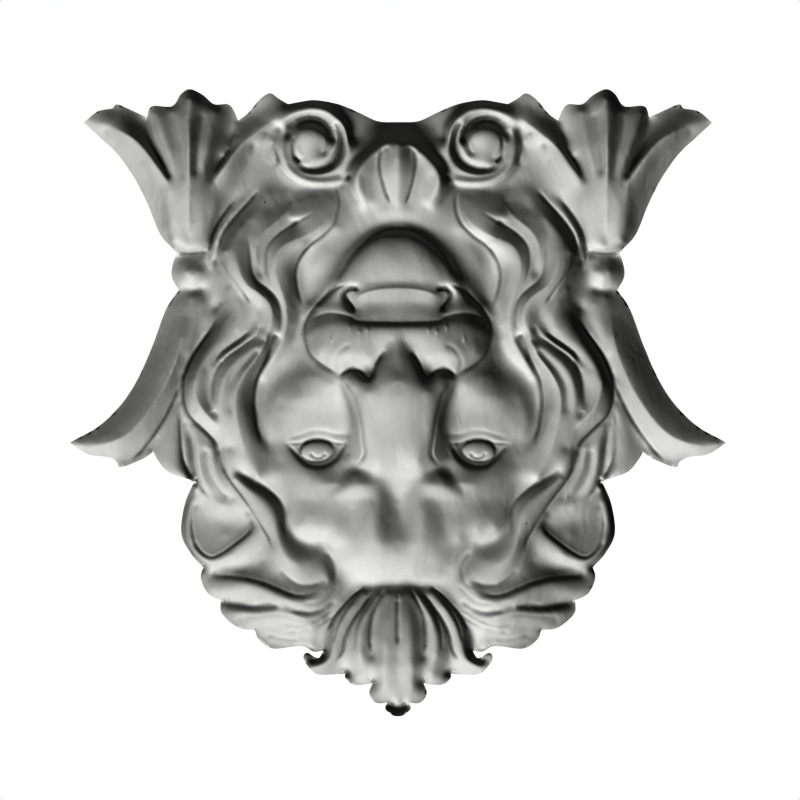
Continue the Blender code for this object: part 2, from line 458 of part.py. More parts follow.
def fit_surface(rows, give):
    """Weights of the smooth surface through the rows' heights, each row held as its give allows."""
    count = len(rows)
    system = np.ones((count + 1, count + 1))
    system[:count, :count] = np.diag(give) - spread(rows, rows)
    system[count, count] = 0
    return np.linalg.solve(system, np.append(rows[:, 2], 0))


def height_at(places, rows, weights):
    """Height of the carving at the places: the fitted surface, or a knob that stands over it."""
    heights = weights[-1] - spread(places, rows) @ weights[:-1]
    folded = np.column_stack([np.abs(places[:, 0]), places[:, 1]])
    for centre, half, base, rise, roundness in knobs().values():
        reach = np.hypot(*((folded - centre) / half).T)
        dome = base + rise * np.clip(1 - reach**roundness, 0, None) ** (1 / roundness)
        heights = np.where(reach < 1, np.maximum(heights, dome), heights)
    return heights


def knob_ring(centre, half, share):
    """Places evenly round a knob, at a share of its half sizes."""
    turns = np.linspace(0, 2 * np.pi, RING_COUNT, endpoint=False)
    around = np.column_stack([np.cos(turns), np.sin(turns)])
    return np.column_stack([np.add(centre, around * half * np.array(share)), np.zeros(RING_COUNT)])


def thinned(places, kept, closest):
    """The places that keep their distance from what is kept and from each other."""
    chosen = list(kept)
    for place in places:
        gaps = np.hypot(*(np.array(chosen)[:, :2] - place[:2]).T)
        if gaps.min() >= closest:
            chosen.append(place)
    return np.array(chosen[len(kept):])


def to_world(u, z, height):
    """A place on the drawing grid as a point in metres."""
    across = u * PANEL_WIDTH / WIDE
    up = (z - FOOT) * PANEL_HEIGHT / HIGH - PANEL_HEIGHT / 2
    out = BACK_THICKNESS + height * CARVING_DEPTH / DEEP
    return Vector((across, -out, up))


def build_mesh():
    """The relief as one closed body: carved front, straight rim and flat back."""
    rim_rows = np.vstack([raised_route(*run, STEP)[:-1] for run in rim().values()])
    top = np.array([[0, FOOT + HIGH, TOP_HEIGHT]])
    half = np.vstack([rim_rows, top])
    outline = np.vstack([half, mirrored(half[1:-1])[::-1]])
    soft = [raised_route(*stroke, STEP) for area in (nose, muzzle, chin, eye, brow)
            for stroke in area().values()]
    firm_areas = (crest, side_locks, upper_mane, flare, bead, cup, shell, volute)
    firm = [raised_route(*stroke, STEP) for area in firm_areas for stroke in area().values()]
    strokes = np.vstack(soft + firm)
    rows = np.vstack([half, strokes])
    give = np.full(len(rows), FIRM_GIVE)
    give[len(half):len(half) + len(np.vstack(soft))] = SOFT_GIVE
    off_axis = rows[:, 0] > ON_AXIS
    rows = np.vstack([rows, mirrored(rows[off_axis])])
    give = np.append(give, give[off_axis])
    weights = fit_surface(rows, give)

    corners = [Vector(place[:2]) for place in outline]
    rings = [knob_ring(centre, size, share) for centre, size, *_ in knobs().values()
             for share in RING_SHARES]
    inner = thinned(np.vstack(rings), outline, RING_CLOSEST)
    inner = np.vstack([inner, thinned(strokes, np.vstack([outline, inner]), CLOSEST)])
    across = np.arange(0, WIDE / 2, FILL)
    up = np.arange(FOOT, FOOT + HIGH, FILL)
    grid = np.array([(u, z, 0) for z in up for u in across])
    inner = np.vstack([inner, thinned(grid, np.vstack([outline, inner]), FILL_CLOSEST)])
    inner = np.vstack([inner, mirrored(inner[inner[:, 0] > ON_AXIS])])
    places = np.vstack([outline, inner])
    heights = height_at(places, rows, weights)
    heights[:len(outline)] = outline[:, 2]

    count = len(outline)
    ring = [(i, (i + 1) % count) for i in range(count)]
    front = delaunay_2d_cdt([Vector(place[:2]) for place in places], ring, [], 1, MERGE)
    back = delaunay_2d_cdt(corners, ring, [], 1, MERGE)

    shape = bmesh.new()
    lifted = [shape.verts.new(to_world(*place[:2], height)) for place, height in zip(places, heights)]
    flat = [shape.verts.new(to_world(*place[:2], 0) * Vector((1, 0, 1))) for place in outline]
    for face in front[2]:
        shape.faces.new([lifted[front[3][corner][0]] for corner in face])
    for face in back[2]:
        shape.faces.new([flat[back[3][corner][0]] for corner in face])
    for here, there in ring:
        shape.faces.new((lifted[here], lifted[there], flat[there], flat[here]))
    loose = [vert for vert in shape.verts if not vert.link_faces]
    bmesh.ops.delete(shape, geom=loose, context="VERTS")
    bmesh.ops.recalc_face_normals(shape, faces=shape.faces)
    mesh = bpy.data.meshes.new("lion_relief_panel")
    shape.to_mesh(mesh)
    shape.free()
    return mesh


def plaster_material():
    """Matt pale plaster, cast and left unpainted."""
    material = bpy.data.materials.new("plaster")
    material.use_nodes = True
    shader = material.node_tree.nodes["Principled BSDF"]
    shader.inputs["Base Color"].default_value = PLASTER
    shader.inputs["Roughness"].default_value = PLASTER_ROUGHNESS
    shader.inputs["Metallic"].default_value = 0.0
    return material


for old in list(bpy.data.objects):
    bpy.data.objects.remove(old)

panel = bpy.data.objects.new("lion_relief_panel", build_mesh())
panel.data.materials.append(plaster_material())
panel.data.shade_smooth()
panel.data.set_sharp_from_angle(angle=SHARP_ANGLE)
bpy.context.collection.objects.link(panel)
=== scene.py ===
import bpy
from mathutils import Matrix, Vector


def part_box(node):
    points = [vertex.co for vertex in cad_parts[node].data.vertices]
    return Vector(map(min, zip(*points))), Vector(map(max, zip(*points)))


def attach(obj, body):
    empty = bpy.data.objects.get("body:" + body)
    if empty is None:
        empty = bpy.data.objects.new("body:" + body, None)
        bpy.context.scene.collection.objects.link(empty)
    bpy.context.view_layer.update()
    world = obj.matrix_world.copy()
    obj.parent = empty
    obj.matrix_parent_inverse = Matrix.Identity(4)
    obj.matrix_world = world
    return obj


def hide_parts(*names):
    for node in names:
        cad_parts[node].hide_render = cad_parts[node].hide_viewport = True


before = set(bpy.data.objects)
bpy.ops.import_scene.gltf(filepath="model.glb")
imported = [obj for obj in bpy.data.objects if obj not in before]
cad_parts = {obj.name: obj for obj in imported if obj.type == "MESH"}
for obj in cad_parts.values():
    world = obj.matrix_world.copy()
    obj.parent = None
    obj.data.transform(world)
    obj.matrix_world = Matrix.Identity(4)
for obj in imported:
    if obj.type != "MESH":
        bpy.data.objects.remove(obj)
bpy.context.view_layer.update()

import math

import bmesh
import bpy
import numpy as np
from mathutils import Vector

# The lion relief panel: one piece of pale plaster, cast face down in a mould and left unpainted.
# Its back was struck off flat, to be fixed to a wall. All places are on the mould maker's drawing
# grid: distance from the axis, height above the middle, and how far the carving rises.
panel_low, panel_high = (Vector(corner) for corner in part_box("lion_relief_panel"))
GRID_WIDE = 657
GRID_FOOT, GRID_TOP = -312, 313.5
GRID_DEEP = 98
TOP_HEIGHT = 61
CARVING_DEPTH = 0.062
BACK_THICKNESS = 0.005

# Rim: the outline of one half, from the foot of the panel to the top, with the height of its front
# edge.
rim_strokes = {
    "rim_chin": ([(0, -279), (20, -280), (40, -289), (60, -297), (83, -301), (100, -299)],
        [6, 7, 8, 9, 10]),
    "rim_petal": ([(110, -297), (120, -303), (128, -308), (138, -302), (150, -288), (160, -280.5)],
        [9, 10, 11, 9, 7]),
    "rim_lobes": ([(160, -280.5), (164, -290), (170, -297), (184, -297), (195, -306), (208, -312),
        (217, -307), (226, -295), (246, -295), (251, -284)], [7, 9, 13, 16, 15, 14, 8]),
    "rim_blade": ([(251, -284), (260, -288), (281, -297), (285, -293), (300, -290), (314, -279)],
        [8, 8, 7, 7, 6]),
    "rim_cup_side": ([(314, -279), (300, -266), (280, -247), (262, -221), (250, -197), (238, -168),
        (226, -154), (221, -149)], [4, 6, 9, 12, 14, 15, 15, 16]),
    "rim_bead": ([(221, -149), (225, -138), (226, -125), (219, -111.5)], [9, 6, 6, 9]),
    "rim_flare": ([(219, -111.5), (232, -92), (245, -57), (260, -23), (277, 3), (300, 25), (328, 40.5)],
        [8, 10, 14, 21, 28, 34, 38]),
    "rim_flare_top": ([(328, 40.5), (310, 52), (290, 55), (281, 60), (277, 65), (255, 56.5), (245, 49.5)],
        [38, 37, 36, 35, 35, 34, 32]),
    "rim_leaf": ([(245, 49.5), (240, 58), (229, 70), (206, 78)], [32, 35, 37, 36]),
    "rim_ear": ([(204, 80), (213, 102), (216.5, 131), (207, 151), (194.5, 165)], [14, 8, 7, 8, 12]),
    "rim_mane_a": ([(194.5, 165), (197, 176), (190, 191), (177, 198)], [15, 17, 20, 22]),
    "rim_mane_b": ([(177, 198), (176, 211), (160, 225), (143, 227.5)], [22, 26, 31, 36]),
    "rim_mane_c": ([(143, 227.5), (139, 237), (125, 246), (97, 243.5), (84, 249), (74, 248)],
        [36, 40, 43, 44, 43]),
    "rim_hook": ([(74, 248), (80, 256), (91, 250.5), (94, 257), (82, 271), (60, 271.5), (50, 270.5)],
        [40, 50, 57, 56, 50, 46, 44]),
    "rim_curl": ([(50, 270.5), (53, 274), (46, 281.5), (35, 282), (25, 280)], [46, 52, 52, 52, 52]),
    "rim_top": ([(25, 280), (28.5, 291), (22, 300), (10, 300)], [52, 56, 57, 57]),
    "rim_cap": ([(10, 300), (12.5, 306), (5, 312.5), (0, 313.5)], [56, 60, 61, 61]),
}

# Nose: the straight bridge, the rounded tip and the pad that turns under to the lip.
nose_strokes = {
    "profile_nose": ([(0, 66), (0, 50), (0, 20), (0, -12), (0, -22)], [76, 86, 90, 94, 98, 98]),
    "bridge_shoulder": ([(38, 62), (33, 48), (36, 32), (39, 15), (43, 0), (49, -12), (55, -22)],
        [70, 78, 81, 83, 82, 79, 72]),
    "bridge_foot": ([(51, 52), (48, 40), (45, 28), (45, 15), (49, 0), (54, -12), (58, -22)],
        [56, 60, 65, 66, 65, 65, 67]),
    "bridge_inner": ([(20, 62), (20, 40), (23, 20), (27, 0), (30, -10)], [82, 86, 88, 91, 94]),
    "nose_tip_edge": ([(0, -19), (16, -18), (30, -15), (40, -13), (46, -16)], [99, 97, 93, 88, 84]),
    "nose_pad_low": ([(54, -27), (49, -30), (43, -30), (37, -27), (31, -23.5), (26, -24), (22, -31),
        (18, -40), (12, -50), (7, -60)], [70, 74, 77, 80, 86, 87, 82, 79, 78, 78]),
    "nose_pad": ([(22, -24), (18, -32), (14, -42), (8, -54)], [90, 87, 83, 80]),
    "philtrum": ([(0, -30), (0, -50), (0, -66)], [92, 86, 80]),
    "nostril": ([(50, -34), (43, -35), (36, -32), (30, -28), (26, -29), (22, -38), (15, -50)],
        [70, 70, 71, 73, 74, 74, 76]),
    "nose_wing": ([(52, -22), (46, -24), (40, -22)], [77, 80, 84]),
}
nose_cuts = {
    "nose_line": ([(42, 64), (35, 55), (34, 47), (36, 35), (38, 20), (41, 8), (46, -8), (52, -18),
        (57, -25)], 1.4, 2.4, -1.8),
    "wing_line": ([(56, -21), (55, -28), (49, -32), (43, -32), (37, -29.5), (33, -25), (28, -23.5),
        (24, -28), (20, -39), (13, -52)], 3, 1.8, -3),
}

# Muzzle: the whisker pads, the parted mouth with its lower lip, and the fang at each corner.
muzzle_strokes = {
    "pad_crest": ([(30, -46), (44, -48), (62, -46)], [78, 80, 75]),
    "pad_mid": ([(24, -62), (44, -64), (62, -62), (76, -58), (80, -46)], [80, 82, 77, 69, 63]),
    "pad_outer": ([(62, -30), (75, -39), (84, -48), (87, -58), (89, -68), (86, -74)],
        [67, 63, 58, 55, 52, 52]),
    "pad_outer_foot": ([(60, -25), (74, -34), (86, -42), (93, -54), (96, -68), (94, -82)],
        [66, 61, 52, 42, 37, 35]),
    "pad_low": ([(84, -73), (70, -78), (56, -80), (44, -77.5), (20, -75.5), (0, -75.5)],
        [58, 69, 75, 79, 80, 79]),
    "mouth_slit": ([(90, -79), (80, -85), (69, -89), (58, -88), (48, -85), (38, -81), (20, -80),
        (0, -79.5)], [44, 52, 62, 67, 70, 71, 71, 71]),
    "lip_top": ([(40, -85), (28, -86), (14, -86), (0, -86)], [70, 71, 71, 71]),
    "lip_hollow": ([(38, -97), (20, -99), (0, -100)], [66, 67, 69]),
    "lip_low": ([(40, -106), (28, -110), (14, -112), (0, -113)], [67, 69, 70, 71]),
    "lip_groove": ([(44, -118), (20, -119), (0, -119)], [65, 67, 68]),
    "fang_gap": ([(44, -93), (49, -101), (52, -108), (48, -113), (40, -112)], [60, 58, 57, 59, 62]),
    "fang": ([(80, -95), (62, -93), (47, -90)], [50, 64, 69]),
    "fang_low": ([(74, -103), (62, -106), (56, -115)], [48, 60, 63]),
    "corner_fold": ([(95, -86), (88, -95), (77, -105), (66, -116)], [36, 37, 42, 50]),
}
muzzle_cuts = {
    "pad_line": ([(57, -24), (66, -31), (79, -39), (88, -48), (92, -60), (93, -72), (90, -84), (82, -96),
        (72, -107), (61, -120)], 2.6, 2.6, -2.5),
    "mouth_line": ([(88, -81), (80, -86), (69, -89), (58, -88), (48, -85.5), (40, -81), (20, -80),
        (0, -79.5)], 1.2, 2.5, -0.8),
    "fang_line": ([(43, -90), (46, -97), (50, -102), (52, -108), (48, -113), (38, -112)], 4, 1.4, -4),
    "fang_low_line": ([(82, -95), (72, -104), (63, -113), (52, -118)], 1.8, 1.8, -1.5),
    "lip_ridge": ([(39, -106), (30, -110), (14, -113), (0, -113.5)], 2, 2, 1.2),
    "whisker_a": ([(65, -62), (68, -62.5)], 2.6, 2.6, 1.3),
    "whisker_b": ([(37, -70.5), (40, -70.5)], 2.6, 2.6, 1.3),
    "whisker_c": ([(47, -75), (50, -75.5)], 2.6, 2.6, 1.3),
    "whisker_d": ([(29, -72.5), (32, -72.5)], 2.6, 2.6, 1.3),
    "pad_fold": ([(56, -26), (63, -35), (62, -45), (55, -54), (46, -58)], 2.6, 2.6, -0.9),
}

# Chin: the rounded chin, the shadow under it and the hollow of the jaw.
chin_strokes = {
    "chin_crest": ([(0, -126), (0, -142), (0, -156), (0, -166)], [70, 71, 68, 61]),
    "chin_side": ([(24, -126), (34, -138), (24, -156)], [69, 66, 64]),
    "chin_edge": ([(60, -121), (52, -134), (43, -145), (32, -156), (20, -164), (8, -168)],
        [58, 57, 57, 58, 59, 59]),
    "chin_under": ([(66, -124), (59, -137), (49, -150), (37, -161), (24, -170), (10, -175), (0, -176)],
        [46, 45, 44, 43, 42, 41, 42]),
    "jaw_hollow": ([(88, -100), (84, -112), (80, -125), (80, -140), (74, -152)], [31, 32, 34, 36, 38]),
    "jaw_low": ([(62, -163), (45, -172), (25, -182), (0, -186)], [38, 38, 40, 42]),
}
chin_cuts = {
    "chin_line": ([(61, -122), (53, -135), (45, -147), (34, -158), (22, -167), (8, -172), (0, -173)], 2.6,
        2.6, -2),
}

# Eye: the eyeball between its lids, the fold below it and the cheek.
eye_strokes = {
    "lid_up": ([(114, 39), (106, 46), (99, 54), (91, 59), (80, 60.5), (70, 59), (61, 53), (54, 42)],
        [43, 45, 48, 51, 53, 53, 53, 54]),
    "lid_crease": ([(112, 46), (104, 55), (96, 62), (87, 66.5), (78, 67.5), (68, 65.5), (59, 58),
        (51, 47)], [45, 50, 56, 60, 61, 62, 62, 60]),
    "lid_low": ([(98, 43), (90, 40.5), (80, 39), (70, 40.5), (61, 43)], [45, 45, 45, 46, 49]),
    "lid_rim": ([(112, 41), (99, 39), (80, 35.5), (63, 38.5), (51, 41)], [45, 47.5, 49, 51, 56]),
    "lid_fold": ([(109, 37), (98, 34), (80, 29.5), (62, 33.5), (50, 34)], [45, 48, 49.5, 51, 55]),
    "under_lid": ([(102, 32), (85, 26), (66, 27)], [47, 51, 53]),
    "cheek_a": ([(62, 12), (80, 10), (100, 10), (120, 16)], [55, 54, 51, 44]),
    "cheek_b": ([(64, -6), (82, -6), (100, -4), (118, 2)], [60, 59, 53, 43]),
    "cheek_c": ([(68, -17), (79, -25), (90, -25), (100, -17)], [65, 61, 54, 49]),
    "cheek_d": ([(126, 34), (129, 20), (127, 6), (121, -8), (112, -20), (103, -31), (97, -42)],
        [44, 43, 42, 41, 40, 39, 39]),
    "cheek_edge": ([(127, 51), (134, 37), (138, 22), (139, 8), (137, -4), (133, -15), (126, -27),
        (117, -36), (108, -45), (103, -56), (103, -66)], [45, 41, 38, 35, 33, 32, 32, 33, 34, 34, 35]),
}
eye_cuts = {
    "lid_line": ([(113, 40), (105, 48.5), (98, 56), (90, 62.5), (80, 64), (70, 62), (61, 56), (55, 46),
        (51, 39)], 2, 2, -1.5),
    "lid_fold_line": ([(109, 37), (98, 33), (80, 28.5), (62, 32.5), (50, 33)], 2.2, 2.2, -0.7),
    "pupil": ([(88, 50), (85, 54), (80, 55.5), (75, 54), (72, 50)], 1.8, 1.8, -1.6),
    "lid_edge_line": ([(112, 41), (99, 41), (90, 38.5), (80, 37.5), (70, 38.5), (61, 41), (51, 41)], 1.3,
        1.3, -1.1),
}

# Brow: the overhanging brow, the furrow between the eyes and the forehead.
brow_strokes = {
    "brow": ([(14, 83), (26, 82), (38, 83), (46, 85)], [69, 75, 78, 76]),
    "brow_outer": ([(60, 81), (75, 82), (90, 83), (102, 84), (112, 85)], [70, 69, 64, 58, 51]),
    "brow_up": ([(52, 98), (66, 99), (80, 99), (95, 97)], [69, 67, 64, 58]),
    "knob_up": ([(28, 95), (38, 97), (47, 97)], [73, 71, 70]),
    "knob_step": ([(42, 74), (50, 84), (58, 92)], [74, 75, 71]),
    "knob_foot": ([(50, 67), (57, 77), (66, 89)], [62, 66, 67]),
    "brow_low": ([(62, 75), (76, 76), (90, 74), (104, 69), (118, 60)], [66, 66, 61.5, 54, 46]),
    "brow_inner": ([(44, 65), (36, 68), (28, 72)], [63, 68, 71]),
    "brow_root": ([(8, 77), (20, 76)], [69, 72]),
    "furrow": ([(0, 152), (0, 142), (0, 130), (0, 114), (0, 98), (0, 84)], [74, 74, 68, 62, 61, 66]),
    "furrow_side": ([(8, 136), (8, 120), (8, 104), (8, 90)], [73, 68, 66, 65]),
    "furrow_top": ([(18, 142), (18, 124), (18, 106), (17, 92)], [77, 76, 74.5, 72]),
    "forehead_a": ([(25, 138), (24, 122), (25, 106)], [77.5, 78, 76]),
    "forehead_hollow": ([(46, 136), (46, 122), (46, 108)], [69, 68.5, 68]),
    "forehead_b": ([(62, 138), (62, 124), (62, 110)], [66, 68.5, 67]),
    "forehead_c": ([(80, 128), (84, 114)], [65, 65]),
    "forehead_d": ([(98, 126), (98, 112), (102, 98)], [60, 58.5, 55]),
    "forehead_top": ([(0, 160), (20, 158), (40, 157), (52, 150)], [70, 70.5, 67, 62]),
    "forehead_edge": ([(113, 84), (108, 100), (107, 116), (100, 130), (82, 138), (70, 143), (62, 156),
        (54, 166), (38, 172), (20, 172), (0, 170)], [50, 53, 54, 54, 53, 52, 51, 51, 56, 62, 63]),
}

# Crest: the upright leaf over the forehead, its folds and the curl of its tips.
crest_strokes = {
    "crest_base": ([(0, 180), (20, 183), (38, 184), (50, 181)], [52, 48, 46, 47]),
    "crest_mid": ([(0, 300), (0, 285), (0, 262), (0, 240), (0, 222), (0, 204), (0, 194)],
        [58, 64, 70, 72, 71, 68, 61]),
    "cap": ([(0, 303), (8, 303)], [50, 50]),
    "crest_a_groove": ([(12, 190), (20, 202), (25, 215), (27, 235), (26, 255)], [56, 60, 61, 63, 62]),
    "crest_a": ([(7, 194), (11, 208), (14, 228), (14, 255), (16, 288)], [60, 68, 73, 72, 61]),
    "crest_b": ([(20, 194), (30, 210), (37, 228), (38, 250), (34, 272)], [57, 65, 67, 67, 60]),
    "crest_b_groove": ([(25, 192), (37, 206), (46, 222), (52, 238), (52, 256), (46, 268)],
        [52, 56, 58, 58, 56, 52]),
    "crest_c": ([(34, 191), (47, 206), (57, 221), (64, 238), (70, 256), (82, 264)],
        [53, 59, 60, 59, 57, 57]),
    "crest_c_groove": ([(42, 189), (57, 202), (67, 216), (73, 232), (74, 246)], [47, 49, 49, 47, 43]),
    "hook_under": ([(76, 252), (86, 257), (90, 253)], [40, 46, 54]),
}
crest_cuts = {
    "crest_a_line": ([(12, 186), (20, 200), (26, 215), (28, 235), (27, 250)], 1.8, 1.8, -2),
    "crest_b_line": ([(25, 190), (36, 205), (46, 220), (52, 234), (55, 248), (62, 260)], 1.8, 1.8, -2),
    "crest_c_line": ([(32, 184), (43, 192), (54, 203), (63, 214), (70, 228)], 1.8, 1.8, -2),
    "crest_slit": ([(0, 242), (0, 228), (0, 212), (0, 200)], 2.2, 2.2, -2),
    "crest_d_line": ([(44, 196), (54, 210), (61, 224), (65, 240)], 1.6, 1.6, -1.4),
    "crest_e_line": ([(30, 200), (38, 214), (43, 230), (44, 248)], 1.6, 1.6, -1.2),
}

# Side locks: the long locks that fall in waves beside the face.
side_locks_strokes = {
    "big_lock_crest": ([(140, 76), (149, 62), (153, 48), (157, 34), (160, 20), (163, 5), (162, -10),
        (157, -22), (149, -34), (140, -44), (134, -54), (131, -64)],
        [52, 52, 53, 54, 55, 56, 56, 56, 56, 55, 53, 51]),
    "big_wall_top": ([(133, 66), (141, 50), (145, 38), (148, 25), (151, 10), (153, 0), (153, -12),
        (150, -22), (145, -32), (139, -42), (133, -52), (129, -62)],
        [50, 50, 50, 50, 49, 49, 49, 49, 48, 47, 46, 46]),
    "big_groove": ([(120, 72), (128, 62), (134, 48), (138, 38), (141, 25), (143, 10), (144, 0), (143, -12),
        (141, -22), (136, -33), (131, -43), (126, -55), (122, -66)],
        [49, 48, 47, 45, 42, 39, 37, 36, 35, 36, 36, 37, 38]),
    "big_valley": ([(168, 8), (168, -8), (165, -20), (158, -31), (149, -41), (141, -50)],
        [53, 53, 52, 52, 51, 50]),
    "big_back": ([(168, 46), (175, 32), (178, 12), (178, -8), (175, -20), (170, -31), (162, -40),
        (152, -48), (143, -55), (134, -62)], [46, 48, 51, 53, 54, 55, 54, 53, 51, 49]),
    "step_floor": ([(185, 8), (185, -8), (184, -22), (180, -34), (171, -45), (160, -53), (150, -60),
        (141, -66), (137, -74)], [50, 47, 45, 45, 46, 46, 46, 45, 45]),
    "step_ledge": ([(176, -43), (167, -51), (156, -58), (147, -65), (142, -72)], [48, 48, 48, 47, 46]),
    "step_low": ([(183, -38), (177, -49), (166, -57), (156, -64), (148, -71), (143, -80)],
        [43, 42, 42, 42, 43, 43]),
    "outer_crest": ([(179, 25), (190, 14), (198, 4), (202, -6), (204, -18), (201, -30), (193, -43),
        (184, -57), (176, -70), (171, -84)], [49, 50, 50, 49, 48, 46, 44, 42, 39, 36]),
    "outer_shoulder": ([(203, 12), (208, 2), (210, -8), (209, -20), (204, -34), (196, -47), (187, -60),
        (179, -74)], [43, 42, 41, 40, 40, 39, 37, 34]),
    "outer_hollow": ([(182, 14), (188, 2), (191, -12), (189, -26), (182, -38)], [48, 46, 45, 45, 45]),
    "outer_mid": ([(192, -32), (186, -44), (176, -56), (164, -66)], [45, 44, 43, 43]),
    "outer_groove": ([(180, 62), (181, 48), (184, 39), (192, 30), (201, 22), (210, 12), (214, 0),
        (215, -12), (213, -28), (206, -44), (197, -58), (188, -71), (181, -84), (177, -98)],
        [38, 38, 38, 38, 37, 34, 31, 29, 27, 26, 25, 25, 24, 23]),
    "outer_field": ([(160, -72), (156, -88), (160, -102), (168, -112)], [44, 44, 42, 37]),
    "outer_side": ([(172, -92), (174, -108), (180, -124), (184, -140)], [31, 28, 23, 18]),
    "lock2_crest": ([(134, -68), (126, -78), (126, -92), (131, -102), (141, -110), (151, -117),
        (157, -127), (161, -140), (161, -152), (158, -162)], [50, 51, 51, 51, 51, 50, 50, 49, 46, 41]),
    "lock2_valley": ([(121, -68), (117, -80), (118, -94), (123, -105), (131, -113), (140, -120),
        (145, -128), (147, -138), (148, -150), (150, -163), (146, -178)],
        [44, 44, 44, 44, 44, 44, 43, 42, 41, 38, 34]),
    "lock2_side": ([(138, -76), (139, -90), (147, -101), (158, -112), (166, -124), (171, -138),
        (172, -150)], [46, 45, 45, 45, 44, 43, 42]),
    "fold_out": ([(153, -96), (163, -109), (172, -122), (179, -136)], [43, 39, 33, 27]),
    "lock2_shoulder": ([(174, -150), (167, -161), (158, -172), (148, -184), (138, -196), (130, -207)],
        [41, 39, 37, 32, 27, 23]),
    "lock4_floor": ([(180, -146), (179, -156), (176, -166), (168, -178), (158, -190), (148, -201),
        (139, -212)], [27, 27, 26, 24, 22, 20, 18]),
    "thin_lock": ([(184, -150), (181, -162), (176, -173), (170, -183), (163, -193), (157, -201)],
        [24, 27, 27, 25, 23, 20]),
    "thin_groove": ([(188, -134), (188, -150), (185, -166), (179, -179), (171, -191), (161, -204)],
        [17, 19, 21, 21, 20, 18]),
    "lock3_crest": ([(136, -26), (130, -38), (122, -51), (115, -63), (111, -78), (112, -96), (117, -112),
        (122, -127), (123, -139), (120, -150), (112, -158), (100, -163), (88, -168), (78, -175),
        (70, -184), (64, -195), (61, -208)],
        [36, 39, 41, 42, 43, 44, 45, 46, 46, 46, 45, 44, 43, 42, 40, 36, 30]),
    "lock3_flank": ([(105, -78), (106, -95), (108, -110), (110, -125), (110, -138), (104, -149),
        (93, -158)], [39, 40, 40, 41, 41, 41, 41]),
    "lock3_valley": ([(104, -66), (100, -82), (97, -97), (99, -110), (101, -122), (100, -136), (95, -149),
        (86, -158), (75, -166), (62, -174)], [35, 35, 33, 31, 30, 30, 32, 35, 38, 40]),
    "curl_valley": ([(133, -126), (132, -140), (131, -152), (125, -163), (114, -172), (103, -180)],
        [43, 41, 39, 37, 35, 32]),
    "curl_ridge": ([(138, -128), (142, -140), (142, -152), (139, -162), (132, -172), (121, -181),
        (112, -190), (106, -200)], [40, 41, 41, 40, 38, 35, 31, 25]),
    "low_field": ([(104, -184), (92, -188), (78, -194), (68, -202)], [36, 38, 37, 33]),
    "low_field_b": ([(104, -200), (88, -204), (74, -210)], [28, 30, 28]),
    "low_field_c": ([(130, -192), (120, -204), (112, -214)], [28, 23, 18]),
    "ground": ([(150, -212), (140, -219), (128, -228), (120, -240), (124, -256), (132, -268)],
        [17, 16, 15, 14, 14, 16]),
    "ground_b": ([(168, -214), (160, -226), (150, -244), (146, -256)], [24, 21, 18, 18]),
}
side_locks_cuts = {
    "big_line": ([(136, 42), (141, 25), (143, 10), (144, 0), (143, -12), (141, -22), (136, -33),
        (131, -43), (126, -56)], 1.8, 2.4, -2.5),
    "big_edge": ([(152, 50), (157, 35), (160, 20), (163, 5), (162, -10), (157, -22), (149, -34),
        (140, -44), (134, -54)], 2.5, 2.5, 0.8),
    "outer_line": ([(180, 62), (181, 48), (184, 39), (192, 30), (201, 22), (210, 12), (214, 0), (215, -12),
        (213, -28), (206, -44), (197, -58), (188, -71), (181, -84)], 2.2, 2.2, -2.8),
    "outer_ridge": ([(178, 26), (190, 14), (198, 4), (202, -6), (204, -18), (203, -28)], 2.2, 2.2, 0.9),
    "step_line": ([(185, 2), (185, -10), (184, -22), (180, -34), (171, -45), (160, -53), (150, -60),
        (141, -66)], 1.6, 2.2, -1.2),
    "twin_line": ([(182, -40), (176, -49), (166, -57), (156, -64), (148, -71)], 1.6, 2, -1.4),
    "lock2_line": ([(119, -66), (117, -80), (118, -94), (123, -105), (131, -113), (140, -120), (145, -128),
        (147, -138), (148, -150), (150, -163)], 2, 2, -1.2),
    "lock2_edge": ([(126, -78), (126, -92), (131, -102), (141, -110), (151, -117), (157, -127),
        (161, -140), (162, -153)], 2.2, 2.2, 0.8),
    "fold_line": ([(147, -98), (157, -112), (166, -124), (173, -134), (178, -145)], 1.6, 1.6, -1.4),
    "lock3_edge": ([(130, -38), (122, -51), (115, -63), (111, -78), (112, -96), (117, -112), (122, -127),
        (123, -139), (120, -150), (112, -158), (100, -163), (88, -168), (78, -175), (70, -184),
        (64, -195)], 2.2, 2.2, 0.8),
    "lock3_line": ([(95, -94), (98, -104), (101, -116), (102, -130), (98, -143), (88, -156), (75, -166),
        (64, -178), (59, -190), (58, -203), (62, -216)], 1.8, 1.8, -1.6),
    "lock4_line": ([(179, -152), (176, -166), (168, -178), (158, -190), (148, -201), (139, -212)], 2.2,
        2.2, -2),
    "curl_line": ([(140, -134), (142, -150), (139, -162), (132, -172), (121, -181), (112, -190),
        (106, -200)], 2, 2, 1),
    "curl_cut": ([(127, -118), (131, -134), (131, -150), (126, -161), (115, -171), (100, -180),
        (84, -190)], 1.8, 1.8, -1.2),
    "thin_ridge": ([(183, -156), (177, -171), (170, -183), (163, -193)], 1.8, 1.8, 0.6),
    "thin_edge": ([(188, -136), (188, -150), (185, -166), (179, -179), (171, -191), (162, -203)], 1.8, 1.8,
        -1.8),
}

